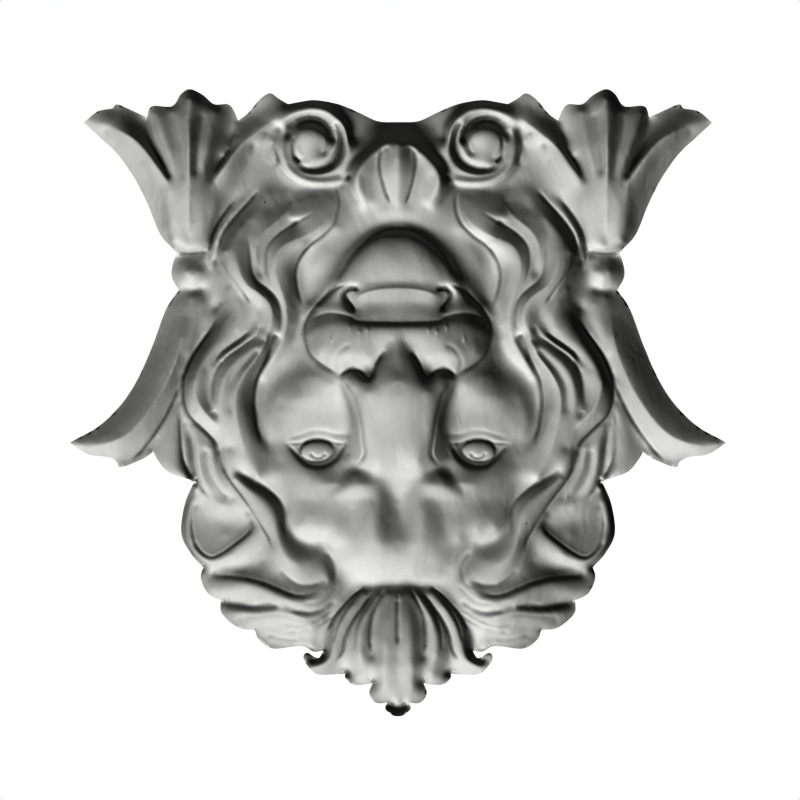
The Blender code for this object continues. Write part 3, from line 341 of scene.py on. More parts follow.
# Upper mane: the ear, the strands over it and the locks swept back over the temple.
upper_mane_strokes = {
    "ear_rim": ([(206, 96), (211, 112), (212, 130), (207, 146), (196, 157), (182, 160), (166, 152),
        (152, 140), (143, 128)], [17, 16, 17, 21, 27, 33, 39, 42, 43]),
    "ear_bowl": ([(202, 104), (204, 120), (202, 136), (194, 148), (185, 151.5), (174, 147), (160, 137.5),
        (149, 128), (146, 120)], [17, 17, 19, 23, 28, 32, 35, 37, 38]),
    "ear_edge": ([(204, 142), (196, 152.5), (186, 156.5), (174, 152.5), (160, 143), (148, 133),
        (142, 124)], [21, 26, 32, 36, 40, 42, 43]),
    "ear_floor": ([(190, 112), (180, 118), (168, 122)], [22, 25, 29]),
    "ear_floor_b": ([(194, 130), (184, 134), (172, 132)], [21, 25, 30]),
    "ear_foot": ([(149, 111), (162, 105), (176, 102), (190, 96), (200, 88)], [40, 36, 33, 29, 26]),
    "strand_a": ([(203, 88), (209, 73), (212, 58), (213, 40), (213, 22)], [27, 31, 33, 33, 31]),
    "strand_b": ([(184, 94), (193, 82), (199, 68), (201, 52), (203, 38), (206, 26)],
        [31, 33, 35, 37, 37, 36]),
    "strand_groove": ([(190, 97), (200, 80), (205, 62), (207, 45), (210, 28)], [27, 28, 29, 30, 31]),
    "strand_c": ([(165, 97), (176, 86), (183, 73), (187, 58), (188, 46)], [36, 37, 38, 39, 40]),
    "strand_gap": ([(172, 94), (183, 82), (190, 68), (192, 50)], [33, 33, 34, 36]),
    "leaf_gap": ([(204, 77), (211, 66), (215, 52), (217, 30), (217, 8)], [28, 31, 32, 32, 31]),
    "temple_edge": ([(179, 50), (176, 64), (169, 78), (158, 92), (147, 108), (137, 124), (130, 137),
        (127, 150), (124, 165)], [36, 38, 41, 43, 46, 48, 49, 50, 50]),
    "temple_lip": ([(175, 50), (172.5, 62), (165.5, 76), (154.5, 91), (143.5, 107), (133.5, 123),
        (127, 136), (123.5, 150), (120, 163)], [43, 44, 46, 48, 50, 52, 53, 53, 52]),
    "strand_d": ([(152, 103), (163, 90), (174, 76), (181, 60), (183, 48)], [44, 41, 39, 38, 38]),
    "deep_groove": ([(78, 142), (88, 142.5), (98, 139), (106, 132), (111, 120), (113, 108), (119, 97),
        (130, 87), (144, 79), (160, 70)], [50, 49, 49, 48, 47, 46, 45, 44, 43, 44]),
    "deep_crest": ([(80, 149), (88, 158), (98, 161.5), (108, 158.5), (116, 150), (120, 138), (121, 124),
        (123, 110), (130, 100), (142, 91), (153, 84), (164, 77)],
        [51, 57, 60, 60, 59, 58, 57, 55, 54, 52, 50, 48]),
    "curl_crest": ([(76, 171), (90, 176), (104, 173), (114, 165)], [57, 57.5, 57, 55]),
    "curl_dip": ([(73, 179), (86, 182), (100, 180), (114, 174), (124, 167)], [56, 56.5, 56, 53, 50]),
    "curl_groove": ([(74, 146), (70, 154), (66, 164), (63, 176)], [50, 50, 50, 51]),
    "curl_outer": ([(78, 154), (72, 166), (70, 178), (76, 190), (86, 198), (98, 201)],
        [53, 55, 57, 59, 62, 63]),
    "temple_lock": ([(188, 168), (176, 167), (160, 162), (148, 157), (138, 150)], [22, 26, 32, 37, 42]),
    "temple_plane": ([(160, 168), (146, 164), (135, 160)], [32, 37, 42]),
    "u1_groove": ([(184, 172), (166, 173), (150, 175), (132, 180), (118, 186), (105, 192), (94, 193),
        (84, 190)], [21, 30, 40, 48, 54, 58, 60, 59]),
    "u1_crest": ([(184, 178), (168, 179), (150, 181), (134, 186), (120, 192.5), (108, 198), (96, 200)],
        [24, 35, 46, 54, 60, 63, 63]),
    "mane_a": ([(190, 186), (172, 190), (152, 192), (134, 197), (118, 204)], [21, 32, 42, 52, 59]),
    "ga_groove": ([(176, 199), (160, 201), (145, 204), (130, 203), (112, 205), (98, 208), (84, 209),
        (73, 205)], [20, 29, 39, 48, 57, 60, 58, 54]),
    "mane_b": ([(172, 208), (156, 210), (140, 211), (124, 209), (110, 211), (96, 216), (84, 219),
        (75, 216)], [26, 36, 44, 51, 58, 61, 58, 53]),
    "gb_groove": ([(158, 216), (140, 215), (122, 213), (108, 216), (94, 221), (86, 223)],
        [33, 43, 51, 57, 58, 56]),
    "mane_c": ([(150, 223), (134, 224), (116, 224), (100, 228), (84, 232)], [36, 43, 50, 53, 49]),
    "gd_groove": ([(136, 236), (122, 236), (110, 234), (98, 234), (86, 238)], [38, 43, 47, 48, 47]),
    "mane_d": ([(128, 241), (112, 240), (98, 240), (86, 244)], [40, 44, 46, 46]),
}
upper_mane_cuts = {
    "strand_line": ([(190, 96), (200, 80), (205, 62), (207, 45), (210, 28)], 1.8, 1.8, -1.2),
    "leaf_line": ([(205, 78), (211, 67), (215.5, 53), (217.5, 32), (218, 10)], 1.4, 1.4, -1.2),
    "deep_line": ([(163, 69), (150, 76), (138, 82), (127, 90), (119, 98), (114.5, 108), (114, 122),
        (113, 134)], 2.4, 2.4, -1.5),
    "temple_line": ([(178, 55), (174, 68), (167, 80), (157, 93), (146, 109), (136, 125), (129, 137),
        (126, 150)], 1.8, 1.8, -1.6),
    "u1_line": ([(186, 173), (166, 174), (150, 176), (132, 181), (118, 187), (105, 192), (94, 193),
        (84, 190)], 2, 2, -1),
    "hook_line": ([(75, 187), (66, 178), (63, 167), (66, 158), (73, 149)], 2.4, 2.4, -1),
    "ga_line": ([(176, 200), (160, 202), (145, 204), (130, 203), (116, 204)], 3, 3, -1.6),
    "gb_line": ([(158, 214), (140, 214), (120, 212), (106, 215), (92, 219), (78, 215)], 2.2, 2.2, -0.6),
    "gc_line": ([(108, 208), (88, 210), (74, 206), (62, 198)], 2.6, 2.6, -1.4),
    "gd_line": ([(132, 232), (115, 236), (98, 238)], 2.2, 2.2, -0.8),
    "ge_line": ([(112, 230), (95, 228), (76, 221), (62, 212)], 2.2, 2.2, -1),
    "gf_line": ([(118, 221), (98, 223), (80, 217), (64, 206)], 2, 2, -0.8),
    "gg_line": ([(96, 201), (80, 200), (68, 192), (60, 182)], 2, 2, -0.8),
    "dip_line": ([(120, 166), (104, 180), (90, 183), (76, 180)], 2.4, 2.4, -0.8),
    "ear_line": ([(205, 108), (206, 122), (203.5, 138), (197, 149), (187, 154.5), (176, 150.5), (161, 140),
        (149, 130), (144, 121)], 1.4, 1.4, -1.4),
}

# Flare: the upper leaf of the side ornament, its sharp arris and the second leaf inside it.
flare_strokes = {
    "flare_arris": ([(207, -104), (212, -85), (217, -60), (223, -38), (232, -18), (243, 0), (256, 18),
        (272, 33), (290, 41), (308, 44), (320, 42.5)], [17, 21, 27, 31, 34, 37, 40, 42, 43, 42, 40]),
    "flare_bulge": ([(196, -98), (201, -82), (206, -64), (210, -50)], [20, 23, 26, 27]),
    "flare_valley": ([(214, -26), (222, -8), (231, 10), (240, 26), (250, 40), (262, 52), (272, 60)],
        [25, 28, 31, 33, 34, 34, 34]),
    "flare_leaf": ([(217, 0), (222, 14), (227, 30), (231, 46), (234, 58)], [30, 33, 35, 36, 36]),
    "flare_slot": ([(226, 2), (236, 20), (244, 36), (247, 47)], [29, 31, 32, 31]),
    "flare_leaf_edge": ([(218, 20), (219, 40), (218, 58), (212, 72)], [32, 35, 36, 36]),
    "flare_root": ([(206, -107), (196, -106), (187, -101), (182, -93)], [15, 16, 18, 18]),
    "flare_shade": ([(193, -84), (199, -66), (206, -46), (212, -30)], [21, 22, 24, 26]),
}
flare_cuts = {
    "flare_edge": ([(212, -85), (217, -60), (223, -38), (232, -18), (243, 0), (256, 18), (272, 33),
        (290, 41), (308, 44)], 6, 6, 2.5),
    "valley_line": ([(216, -20), (224, -2), (232, 14), (242, 30), (254, 46), (266, 58)], 1.8, 1.8, -2),
}

# Bead: the round bead between the two leaves, with a neck above and below.
bead_strokes = {
    "bead_neck_top": ([(218, -111.5), (208, -112), (197, -112)], [9, 12, 12]),
    "bead_neck_low": ([(220, -148.5), (208, -148), (192, -149)], [12, 14, 14]),
    "bead_ring": ([(205, -116), (214, -120), (218, -130), (214, -140), (204, -144), (194, -140),
        (189, -130), (195, -120), (204, -116)], [16, 15, 14, 14, 14, 15, 16, 17, 16]),
    "bead_top": ([(199, -130), (205, -125), (211, -130)], [21, 22, 21]),
}

# Cup: the lower leaf, a flared cup with ribs, two slits and a pointed inner petal.
cup_strokes = {
    "cup_top": ([(219, -153), (208, -152), (194, -153)], [24, 29, 26]),
    "cup_centre": ([(209, -158), (209, -175), (209, -200), (209, -225), (209, -250), (209, -280),
        (208, -303)], [32, 38, 43, 45, 43, 37, 28]),
    "cup_inner_edge": ([(189, -158), (186, -176), (182, -198), (182, -212)], [27, 29, 31, 32]),
    "cup_outer_arris": ([(225, -160), (228, -180), (230, -205), (231, -221), (241, -239), (252, -252),
        (266, -264), (288, -275), (306, -279)], [30, 34, 37, 38, 35, 32, 28, 18, 8]),
    "cup_outer_fall": ([(234, -180), (241, -205), (252, -230), (268, -250), (292, -270)],
        [25, 26, 25, 21, 11]),
    "cup_slit": ([(230, -226), (239, -243), (246, -260), (250, -280)], [32, 21, 14, 8]),
    "cup_rib_a": ([(219, -212), (225, -230), (232, -250), (240, -272), (244, -288)], [42, 38, 34, 27, 18]),
    "cup_valley": ([(215, -225), (218, -248), (223, -270), (226, -290)], [41, 37, 29, 20]),
    "cup_rib_b": ([(196, -218), (194, -234), (190, -252), (186, -275), (183, -290)], [39, 38, 35, 28, 20]),
    "cup_valley_b": ([(203, -230), (201, -255), (197, -285)], [39, 35, 24]),
    "cup_slit_b": ([(186, -222), (178, -237), (170, -252), (165, -265), (163, -280)], [31, 22, 16, 12, 8]),
    "petal_edge": ([(184, -219), (178, -231), (168, -245), (156, -257), (145, -266), (131, -277)],
        [33, 32, 30, 27, 24, 21]),
    "petal_mid": ([(174, -246), (160, -268), (142, -285), (130, -300)], [22, 17, 14, 12]),
}
cup_cuts = {
    "blade_edge": ([(229, -200), (231, -221), (241, -239), (252, -252), (266, -264), (288, -275)], 5, 5,
        2),
    "centre_edge": ([(209, -165), (209, -190), (209, -220), (209, -250), (209, -280)], 5, 5, 2),
    "petal_line": ([(184, -219), (178, -231), (168, -245), (156, -257), (145, -266), (131, -277),
        (122, -284)], 3, 3, 1.4),
}

# Shell: the small shell under the chin, three lobes with a rolled rim.
shell_strokes = {
    "shell_top": ([(0, -190), (16, -189), (28, -193)], [44, 42, 41]),
    "shell_centre": ([(0, -200), (0, -215), (0, -232), (0, -246), (0, -258)], [48, 52, 55, 55, 50]),
    "shell_groove": ([(8, -198), (13, -214), (16, -230), (15, -246), (12, -254)], [44, 46, 47, 45, 42]),
    "shell_side": ([(21, -202), (25, -216), (26, -232), (22, -244)], [44, 46, 46, 45]),
    "shell_hollow": ([(28, -202), (34, -214), (35, -226)], [46, 49, 50]),
    "shell_rim": ([(34, -199), (41, -210), (43, -222), (39, -234), (28, -245), (14, -255), (0, -260)],
        [46, 50, 52, 50, 47, 45, 46]),
    "shell_foot": ([(40, -197), (49, -210), (51, -224), (47, -239), (34, -252), (18, -264), (0, -269)],
        [40, 35, 33, 31, 29, 27, 27]),
}
shell_cuts = {
    "lobe_line": ([(8, -198), (13, -212), (17, -228), (18, -242), (15, -256)], 1.6, 1.6, -2),
}

# Volute: the scroll beside the shell, a rim, a trough and a ribbon that winds in to an eye.
volute_strokes = {
    "volute_rim": ([(132, -278), (122, -284), (110, -290), (98, -294), (85, -296), (72, -293.5),
        (62, -286), (54, -274), (51, -262), (51, -251), (55, -241), (62, -233), (70, -229), (80, -227),
        (90, -228), (99, -231), (105, -237), (110, -244), (111, -251), (109, -259)],
        [20, 20, 20, 21, 22, 24, 27, 29, 30, 31, 31, 30.5, 30, 29.5, 29, 28, 27, 26, 24, 22]),
    "volute_trough": ([(63, -276), (59, -266), (57, -256), (60, -246), (66, -239), (76, -234), (88, -233),
        (97, -237), (103, -243)], [19, 18, 18, 18, 19, 20, 21, 21, 21]),
    "volute_back": ([(50, -224), (59, -221), (69, -219), (77, -218.5), (87, -219.5), (97, -222.5),
        (105, -227), (112, -235), (117, -244), (119, -254), (117, -264), (111, -273)],
        [29, 31, 31.5, 31.5, 31, 29, 28, 26, 24, 22, 20, 19]),
    "volute_band": ([(60, -226), (76, -224.5), (90, -225.5), (101, -231), (108, -239)],
        [28.5, 28.5, 28, 26, 24.5]),
    "volute_ground": ([(56, -216), (70, -213.5), (84, -213.5), (98, -217), (110, -224), (118, -233),
        (123, -244), (124, -258), (120, -272)], [28, 27, 26, 24, 20, 17, 15, 13, 13]),
    "volute_ribbon": ([(118, -281), (104, -286), (92, -289), (79, -288), (68, -282), (62, -270),
        (60.5, -260), (64, -250), (71, -242), (81, -237.5), (93, -236.5), (102, -240), (108, -248),
        (105, -262)], [22, 23, 24, 25, 26, 27, 27, 27, 27, 26, 26, 25, 24, 22]),
    "volute_well": ([(64, -262), (68, -273), (78, -282), (90, -284), (101, -281), (108, -274),
        (110, -266)], [17, 13, 10, 9, 10, 12, 15]),
    "button_edge": ([(73, -249), (72, -261), (77, -270), (87, -274), (97, -271), (103, -261), (102, -250),
        (96, -243)], [24, 24, 24, 24, 24, 24, 24, 24]),
    "scroll_wall": ([(46, -262), (48, -276), (58, -290), (72, -298)], [20, 17, 15, 13]),
}
volute_cuts = {
    "rim_line": ([(56, -283), (53, -270), (52, -258), (54, -245), (62, -234), (74, -228), (90, -228),
        (103, -233)], 2, 2, 1),
    "button_line": ([(104, -266), (105, -255), (103, -245), (97, -239)], 1.6, 1.6, -2),
}

# The front is one smooth skin drawn over the strokes above, mirrored about the axis. It passes the
# strokes as a springy sheet would, more loosely over the soft face than over the crisp leaves. The
# knobs are then set on it and the cuts worked into it.
SKIN_STEP = 4
SKIN_ROUNDING = 2.0
SOFT_GIVE, FIRM_GIVE = 6.0, 1.0
MIRRORED_FROM, MIRRORED_TO = 1, 80
CUT_STEP, CUT_REACH, CUT_FADE = 2, 3, 0.12
LOWEST = 2
PLACES_AT_ONCE = 4000
# Each knob: its middle, its half sizes, the height it starts at, its rise, and 2 for a ball or more
# for a flatter button.
knobs = {
    "eyeball": ((80, 50), (17, 11.5), 48, 6, 2),
    "scroll_button": ((87, -257), (16, 16), 23, 3, 4),
}


def smooth_route(points, step):
    """A Catmull-Rom curve through the points, with a point about every step."""
    points = np.array(points, float)
    ends = np.vstack([2 * points[0] - points[1], points, 2 * points[-1] - points[-2]])
    route = []
    for before, start, end, after in zip(ends, ends[1:], ends[2:], ends[3:]):
        count = max(1, round(np.linalg.norm(end - start) / step))
        t = np.linspace(0, 1, count, endpoint=False)[:, None]
        curve = (2 * start + (end - before) * t + (2 * before - 5 * start + 4 * end - after) * t**2
                 + (3 * start - before - 3 * end + after) * t**3)
        route.append(curve / 2)
    route.append(points[-1:])
    return np.vstack(route)


def raised_route(points, heights, step):
    """A stroke's route with its heights spread evenly along it: rows of across, up and out."""
    route = smooth_route(points, step)
    lengths = np.hypot(*np.diff(route, axis=0).T)
    share = np.concatenate([[0], np.cumsum(lengths)]) / lengths.sum()
    return np.column_stack([route, np.interp(share, np.linspace(0, 1, len(heights)), heights)])


def skin_reach(places, rows):
    """The reach from each place to each row, rounded off close to it."""
    across = places[:, None, 0] - rows[None, :, 0]
    up = places[:, None, 1] - rows[None, :, 1]
    return np.sqrt(across**2 + up**2 + SKIN_ROUNDING**2)


def skin_through(rows, give):
    """Weights of the springy skin that passes through the rows as closely as their give allows."""
    count = len(rows)
    system = np.ones((count + 1, count + 1))
    system[:count, :count] = np.diag(give) - skin_reach(rows, rows)
    system[count, count] = 0
    return np.linalg.solve(system, np.append(rows[:, 2], 0))


def skin_height(places, rows, weights):
    """How far the skin rises at the places, worked out a few thousand at a time."""
    rows, weights = rows.astype(np.float32), weights.astype(np.float32)
    parts = np.array_split(places.astype(np.float32), len(places) // PLACES_AT_ONCE + 1)
    return np.concatenate([weights[-1] - skin_reach(part, rows) @ weights[:-1] for part in parts])


def off_route(places, route):
    """Signed distance from each place to the route, left of it positive, and the share along it."""
    nearest = np.full(len(places), np.inf)
    side, share = np.ones(len(places)), np.zeros(len(places))
    runs = np.diff(route, axis=0)
    lengths = np.hypot(*runs.T)
    passed = np.concatenate([[0], np.cumsum(lengths)])
    for start, run, length, before in zip(route, runs, lengths, passed):
        offset = places - start
        along = np.clip(offset @ run / length**2, 0, 1)
        gap = np.hypot(*(offset - along[:, None] * run).T)
        closer = gap < nearest
        nearest[closer] = gap[closer]
        side[closer] = np.sign(run[0] * offset[closer, 1] - run[1] * offset[closer, 0])
        share[closer] = (before + along[closer] * length) / passed[-1]
    return nearest * side, share


def cut_line(places, heights, points, left, right, depth):
    """Work one narrow line into the heights: a round groove below zero depth, a sharp ridge above it."""
    route = smooth_route(points, CUT_STEP)
    margin = CUT_REACH * max(left, right)
    close = np.all((places > route.min(axis=0) - margin) & (places < route.max(axis=0) + margin), axis=1)
    gap, share = off_route(places[close], route)
    reach = np.abs(gap) / np.where(gap > 0, left, right)
    to_end = share if points[-1][0] == 0 else np.minimum(share, 1 - share)
    shape = np.exp(-reach**2) if depth < 0 else np.exp(-reach)
    heights[close] += depth * shape * np.clip(to_end / CUT_FADE, 0, 1)


def carved_height(places):
    """The finished height of the carving at the places of one half."""
    soft_areas = (nose_strokes, muzzle_strokes, chin_strokes, eye_strokes, brow_strokes)
    firm_areas = (rim_strokes, crest_strokes, side_locks_strokes, upper_mane_strokes, flare_strokes,
                  bead_strokes, cup_strokes, shell_strokes, volute_strokes)
    soft = [raised_route(*stroke, SKIN_STEP) for area in soft_areas for stroke in area.values()]
    firm = [raised_route(*stroke, SKIN_STEP) for area in firm_areas for stroke in area.values()]
    rows = np.vstack(soft + firm)
    give = np.where(np.arange(len(rows)) < len(np.vstack(soft)), SOFT_GIVE, FIRM_GIVE)
    near_axis = (rows[:, 0] > MIRRORED_FROM) & (rows[:, 0] < MIRRORED_TO)
    rows = np.vstack([rows, rows[near_axis] * [-1, 1, 1]])
    give = np.append(give, give[near_axis])
    heights = skin_height(places, rows, skin_through(rows, give)).astype(float)
    for centre, half_size, base, rise, roundness in knobs.values():
        reach = np.hypot(*((places - centre) / half_size).T)
        knob = base + rise * np.clip(1 - reach**roundness, 0, None)**(1 / roundness)
        heights = np.where(reach < 1, np.maximum(heights, knob), heights)
    for area in (nose_cuts, muzzle_cuts, chin_cuts, eye_cuts, crest_cuts, side_locks_cuts, upper_mane_cuts,
                 flare_cuts, cup_cuts, shell_cuts, volute_cuts):
        for line in area.values():
            cut_line(places, heights, *line)
    return np.clip(heights, LOWEST, GRID_DEEP)


# Painted shade: the colour is darkened where the carving is hollow, where a point is lower than the points
# this far round it.
HOLLOW_REACH = 3.6
HOLLOW_LEAST, HOLLOW_FULL = 0.25, 2.8


def hollow_share(places, heights):
    """How hollow the carving is at each place, from 0 for flat or proud to 1 for a deep crease."""
    cell = np.array([GRID_WIDE / 2 / columns, (GRID_TOP - GRID_FOOT) / levels])
    column, level = np.rint((places - [0, GRID_FOOT]) / cell).astype(int).T
    away = round(HOLLOW_REACH / SQUARE)
    lattice = np.full((levels + 1, columns + 1), float(LOWEST))
    lattice[level, column] = heights
    lattice = np.pad(lattice, away, mode="reflect")
    turns = [(0, away), (0, -away), (away, 0), (-away, 0)]
    around = sum(np.roll(lattice, turn, axis=(0, 1)) for turn in turns) / len(turns)
    below = (around - lattice)[level + away, column + away]
    return np.clip((below - HOLLOW_LEAST) / HOLLOW_FULL, 0, 1)


# The blank: a flat sheet of fine squares, trimmed to one half of the outline. The squares at the
# edge are drawn onto the outline, so that the rim runs clean.
SQUARE = 1.2
RIM_STEP = 2
ON_AXIS = 1e-4
MERGE = 1e-5
TRIANGLES_MOST = 190000
outline = np.vstack([raised_route(*run, RIM_STEP)[:-1] for run in rim_strokes.values()]
                    + [[[0, GRID_TOP, TOP_HEIGHT]]])


def crossings(level):
    """Where the outline crosses a level, from the axis outward."""
    low, high = outline[:-1], outline[1:]
    spans = (low[:, 1] <= level) != (high[:, 1] <= level)
    low, high = low[spans], high[spans]
    return np.sort(low[:, 0] + (level - low[:, 1]) / (high[:, 1] - low[:, 1]) * (high[:, 0] - low[:, 0]))


half = bmesh.new()
columns = round(GRID_WIDE / 2 / SQUARE)
levels = round((GRID_TOP - GRID_FOOT) / SQUARE)
bmesh.ops.create_grid(half, x_segments=columns, y_segments=levels, size=0.5)
bmesh.ops.translate(half, verts=half.verts, vec=(0.5, 0.5, 0))
bmesh.ops.scale(half, verts=half.verts, vec=(GRID_WIDE / 2, GRID_TOP - GRID_FOOT, 1))
bmesh.ops.translate(half, verts=half.verts, vec=(0, GRID_FOOT, 0))
edges_at = {}
for face in half.faces:
    middle = face.calc_center_median()
    level = round(middle.y, 4)
    if level not in edges_at:
        edges_at[level] = crossings(level)
    face.tag = np.count_nonzero(edges_at[level] > middle.x) % 2 == 0
bmesh.ops.delete(half, geom=[face for face in half.faces if face.tag], context="FACES")
rim_edges = [edge for edge in half.edges if edge.is_boundary and max(v.co.x for v in edge.verts) > ON_AXIS]
rim_verts = {vert for edge in rim_edges for vert in edge.verts}
corners, runs = outline[:-1, :2], np.diff(outline[:, :2], axis=0)
for vert in rim_verts:
    offset = np.array(vert.co.xy) - corners
    along = np.clip((offset * runs).sum(axis=1) / (runs**2).sum(axis=1), 0, 1)
    nearest = np.hypot(*(offset - along[:, None] * runs).T).argmin()
    across, up = corners[nearest] + along[nearest] * runs[nearest]
    vert.co.xy = (0 if vert.co.x < ON_AXIS else across, up)

# The carving: each point of the sheet is raised, then the sheet is mirrored and its rim carried
# back to the wall and closed by the flat back.
places = np.array([vert.co.xy for vert in half.verts])
across_metres = panel_high.x / (GRID_WIDE / 2)
up_metres = (panel_high.z - panel_low.z) / (GRID_TOP - GRID_FOOT)
out_metres = CARVING_DEPTH / GRID_DEEP
heights = carved_height(places)
# Each point keeps how hollow it is, which sets the strength of the painted shade that darkens its colour.
painted_crease_shade = half.verts.layers.float.new("painted_crease_shade")
for vert, (across, up), height, hollow in zip(half.verts, places, heights, hollow_share(places, heights)):
    vert[painted_crease_shade] = hollow
    vert.co = (across * across_metres, -BACK_THICKNESS - height * out_metres,
               panel_low.z + (up - GRID_FOOT) * up_metres)
bmesh.ops.mirror(half, geom=half.verts[:] + half.edges[:] + half.faces[:], merge_dist=MERGE, axis="X")
rim_edges = [edge for edge in half.edges if edge.is_boundary]
walls = bmesh.ops.extrude_edge_only(half, edges=rim_edges)["geom"]
back_verts = [part for part in walls if isinstance(part, bmesh.types.BMVert)]
back_edges = [part for part in walls if isinstance(part, bmesh.types.BMEdge)]
for vert in back_verts:
    vert.co.y = 0
bmesh.ops.contextual_create(half, geom=back_edges)
bmesh.ops.recalc_face_normals(half, faces=half.faces)
for face in half.faces:
    face.smooth = True
for edge in back_edges + rim_edges:
    edge.smooth = False
mesh = bpy.data.meshes.new("lion_relief")
half.to_mesh(mesh)
half.free()
relief = bpy.data.objects.new("lion_relief", mesh)
bpy.context.scene.collection.objects.link(relief)
thin = relief.modifiers.new("thin_flat_parts", "DECIMATE")
thin.ratio = min(1, TRIANGLES_MOST / (2 * len(mesh.polygons)))
thin.use_symmetry = True
thin.symmetry_axis = "X"

# Plaster: matt and pale grey, a little cloudy where the cast dried unevenly, with the modelling tool's
# strokes and the fine grain of the plaster left in the surface, and with painted shade darkening its
# colour in the creases.
PLASTER_PALE = (0.53, 0.53, 0.525, 1.0)
PLASTER_DULL = (0.48, 0.48, 0.475, 1.0)
# The near-black grey that the painted shade in the creases darkens the colour to.
CREASE_SHADE_DARK = (0.15, 0.15, 0.148, 1.0)
SMOOTHEST, ROUGHEST = 0.77, 0.93
PLASTER_SHEEN = 0.1
CLOUD_SIZE, BEND_SIZE, TOOL_SIZE, GRAIN_SIZE = 0.07, 0.07 / 3, 0.006, 0.0009
TOOL_DEPTH, GRAIN_DEPTH = 0.00022, 0.00003
TOOL_SWAY = (0.02, 0.02, 0.02)
TOOL_STRETCH = (1.0, 1.0, 0.35)
TOOL_SOFTNESS = 0.6
plaster = bpy.data.materials.new("cast_plaster")
plaster.use_nodes = True
nodes, links = plaster.node_tree.nodes, plaster.node_tree.links
shader = nodes["Principled BSDF"]
shader.inputs["Specular IOR Level"].default_value = PLASTER_SHEEN
place = nodes.new("ShaderNodeTexCoord")


def plaster_noise(size, detail):
    """A noise over the plaster whose lumps are about this size, in metres."""
    noise = nodes.new("ShaderNodeTexNoise")
    noise.inputs["Scale"].default_value = 1 / size
    noise.inputs["Detail"].default_value = detail
    links.new(place.outputs["Object"], noise.inputs["Vector"])
    return noise


cloud = plaster_noise(CLOUD_SIZE, 5)
tone = nodes.new("ShaderNodeMix")
tone.data_type = "RGBA"
tone.inputs[6].default_value = PLASTER_DULL
tone.inputs[7].default_value = PLASTER_PALE
links.new(cloud.outputs["Fac"], tone.inputs[0])
# Painted shade: the colour is mixed toward the dark grey as far as the point is hollow, darkest in the
# deep creases.
crease_shade_amount = nodes.new("ShaderNodeAttribute")
crease_shade_amount.attribute_name = "painted_crease_shade"
crease_shaded_tone = nodes.new("ShaderNodeMix")
crease_shaded_tone.data_type = "RGBA"
crease_shaded_tone.inputs[7].default_value = CREASE_SHADE_DARK
links.new(crease_shade_amount.outputs["Fac"], crease_shaded_tone.inputs[0])
links.new(tone.outputs[2], crease_shaded_tone.inputs[6])
links.new(crease_shaded_tone.outputs[2], shader.inputs["Base Color"])
polish = nodes.new("ShaderNodeMapRange")
polish.inputs["To Min"].default_value = SMOOTHEST
polish.inputs["To Max"].default_value = ROUGHEST
links.new(cloud.outputs["Fac"], polish.inputs["Value"])
links.new(polish.outputs["Result"], shader.inputs["Roughness"])
tool_marks = nodes.new("ShaderNodeTexVoronoi")
tool_marks.feature = "SMOOTH_F1"
tool_marks.inputs["Scale"].default_value = 1 / TOOL_SIZE
tool_marks.inputs["Smoothness"].default_value = TOOL_SOFTNESS
bend = plaster_noise(BEND_SIZE, 2)
stretched = nodes.new("ShaderNodeMapping")
stretched.inputs["Scale"].default_value = TOOL_STRETCH
swayed = nodes.new("ShaderNodeVectorMath")
swayed.operation = "MULTIPLY_ADD"
swayed.inputs[1].default_value = TOOL_SWAY
links.new(bend.outputs["Color"], swayed.inputs[0])
links.new(place.outputs["Object"], swayed.inputs[2])
links.new(swayed.outputs["Vector"], stretched.inputs["Vector"])
links.new(stretched.outputs["Vector"], tool_marks.inputs["Vector"])
strokes_bump = nodes.new("ShaderNodeBump")
strokes_bump.inputs["Distance"].default_value = TOOL_DEPTH
links.new(tool_marks.outputs["Distance"], strokes_bump.inputs["Height"])
grain = plaster_noise(GRAIN_SIZE, 3)
grain_bump = nodes.new("ShaderNodeBump")
grain_bump.inputs["Distance"].default_value = GRAIN_DEPTH
links.new(grain.outputs["Fac"], grain_bump.inputs["Height"])
links.new(strokes_bump.outputs["Normal"], grain_bump.inputs["Normal"])
links.new(grain_bump.outputs["Normal"], shader.inputs["Normal"])
relief.data.materials.append(plaster)

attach(relief, "root")
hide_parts("lion_relief_panel")

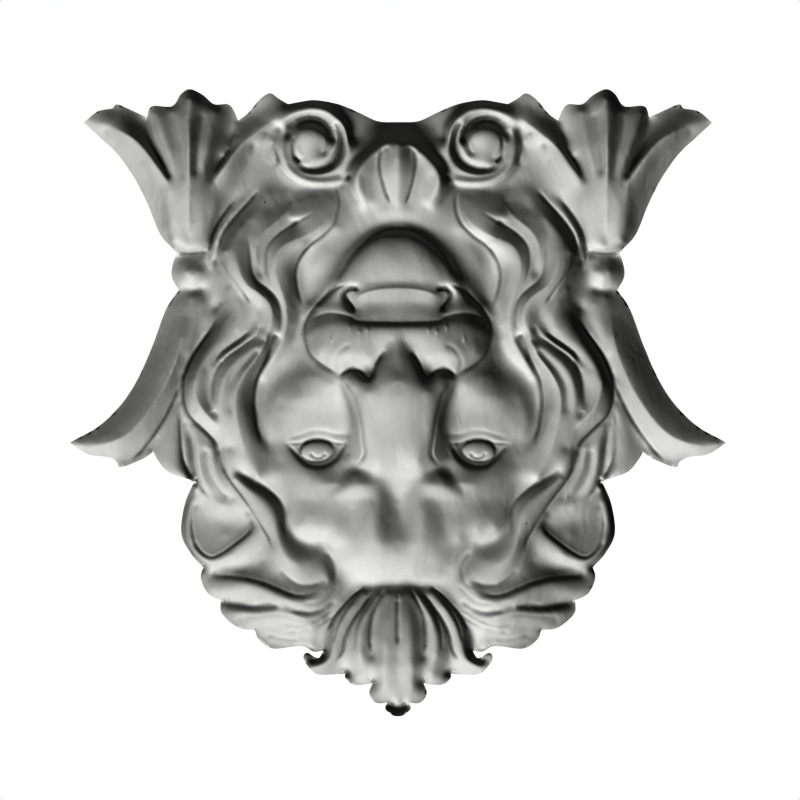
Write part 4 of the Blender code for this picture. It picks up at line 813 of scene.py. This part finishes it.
# The floor: plain, pale and well below, because the panel hangs on a wall.
FLOOR_DROP = 1.8
FLOOR_HALF = 1.5
FLOOR_PALE = (0.75, 0.75, 0.75, 1)
FLOOR_ROUGHNESS = 0.9
floor_mesh = bmesh.new()
bmesh.ops.create_grid(floor_mesh, x_segments=1, y_segments=1, size=FLOOR_HALF)
bmesh.ops.translate(floor_mesh, verts=floor_mesh.verts, vec=(0, 0, -FLOOR_DROP))
floor_data = bpy.data.meshes.new("floor")
floor_mesh.to_mesh(floor_data)
floor_mesh.free()
floor = bpy.data.objects.new("floor", floor_data)
bpy.context.scene.collection.objects.link(floor)
pale = bpy.data.materials.new("pale_floor")
pale.use_nodes = True
floor_shader = pale.node_tree.nodes["Principled BSDF"]
floor_shader.inputs["Base Color"].default_value = FLOOR_PALE
floor_shader.inputs["Roughness"].default_value = FLOOR_ROUGHNESS
floor.data.materials.append(pale)

# Light: one soft lamp high on the lion's left hand side, a weaker one behind that shows the flat back
# and leaves the front as it is, and a white room in the camera's view.
LAMP_SOFTNESS = math.radians(8)
for name, strength, comes_from in (("key", 5.6, (0.26, -0.74, 0.62)), ("back", 2.0, (-0.3, 0.9, 0.3))):
    lamp = bpy.data.lights.new(name, "SUN")
    lamp.energy = strength
    lamp.angle = LAMP_SOFTNESS
    lamp.use_shadow = False
    lamp_object = bpy.data.objects.new(name, lamp)
    lamp_object.rotation_euler = Vector(comes_from).normalized().to_track_quat("Z", "Y").to_euler()
    bpy.context.scene.collection.objects.link(lamp_object)
world = bpy.data.worlds.new("white_room")
bpy.context.scene.world = world
world.use_nodes = True
sky = world.node_tree.nodes["Background"]
path = world.node_tree.nodes.new("ShaderNodeLightPath")
world.node_tree.links.new(path.outputs["Is Camera Ray"], sky.inputs["Strength"])
sky.inputs["Color"].default_value = (1, 1, 1, 1)
scene = bpy.context.scene
scene.view_settings.view_transform = "Raw"
scene.view_settings.look = "None"
scene.view_settings.gamma = 0.72

# Camera: square on to the face from far off, and turned over, as the photograph shows it.
CAMERA_DISTANCE = 3.0
PHOTO_SIDE, PANEL_IN_PHOTO = 800, 657
PHOTO_CENTRE_UP, PHOTO_CENTRE_ACROSS = -2, -2
camera_data = bpy.data.cameras.new("camera")
camera_data.type = "ORTHO"
camera_data.ortho_scale = (panel_high.x - panel_low.x) * PHOTO_SIDE / PANEL_IN_PHOTO
camera = bpy.data.objects.new("camera", camera_data)
camera.location = (PHOTO_CENTRE_ACROSS * across_metres, -CAMERA_DISTANCE,
                   panel_low.z + (PHOTO_CENTRE_UP - GRID_FOOT) * up_metres)
camera.rotation_euler = (math.radians(90), math.radians(180), 0)
scene.collection.objects.link(camera)
bpy.context.scene.camera = camera

bpy.context.view_layer.update()
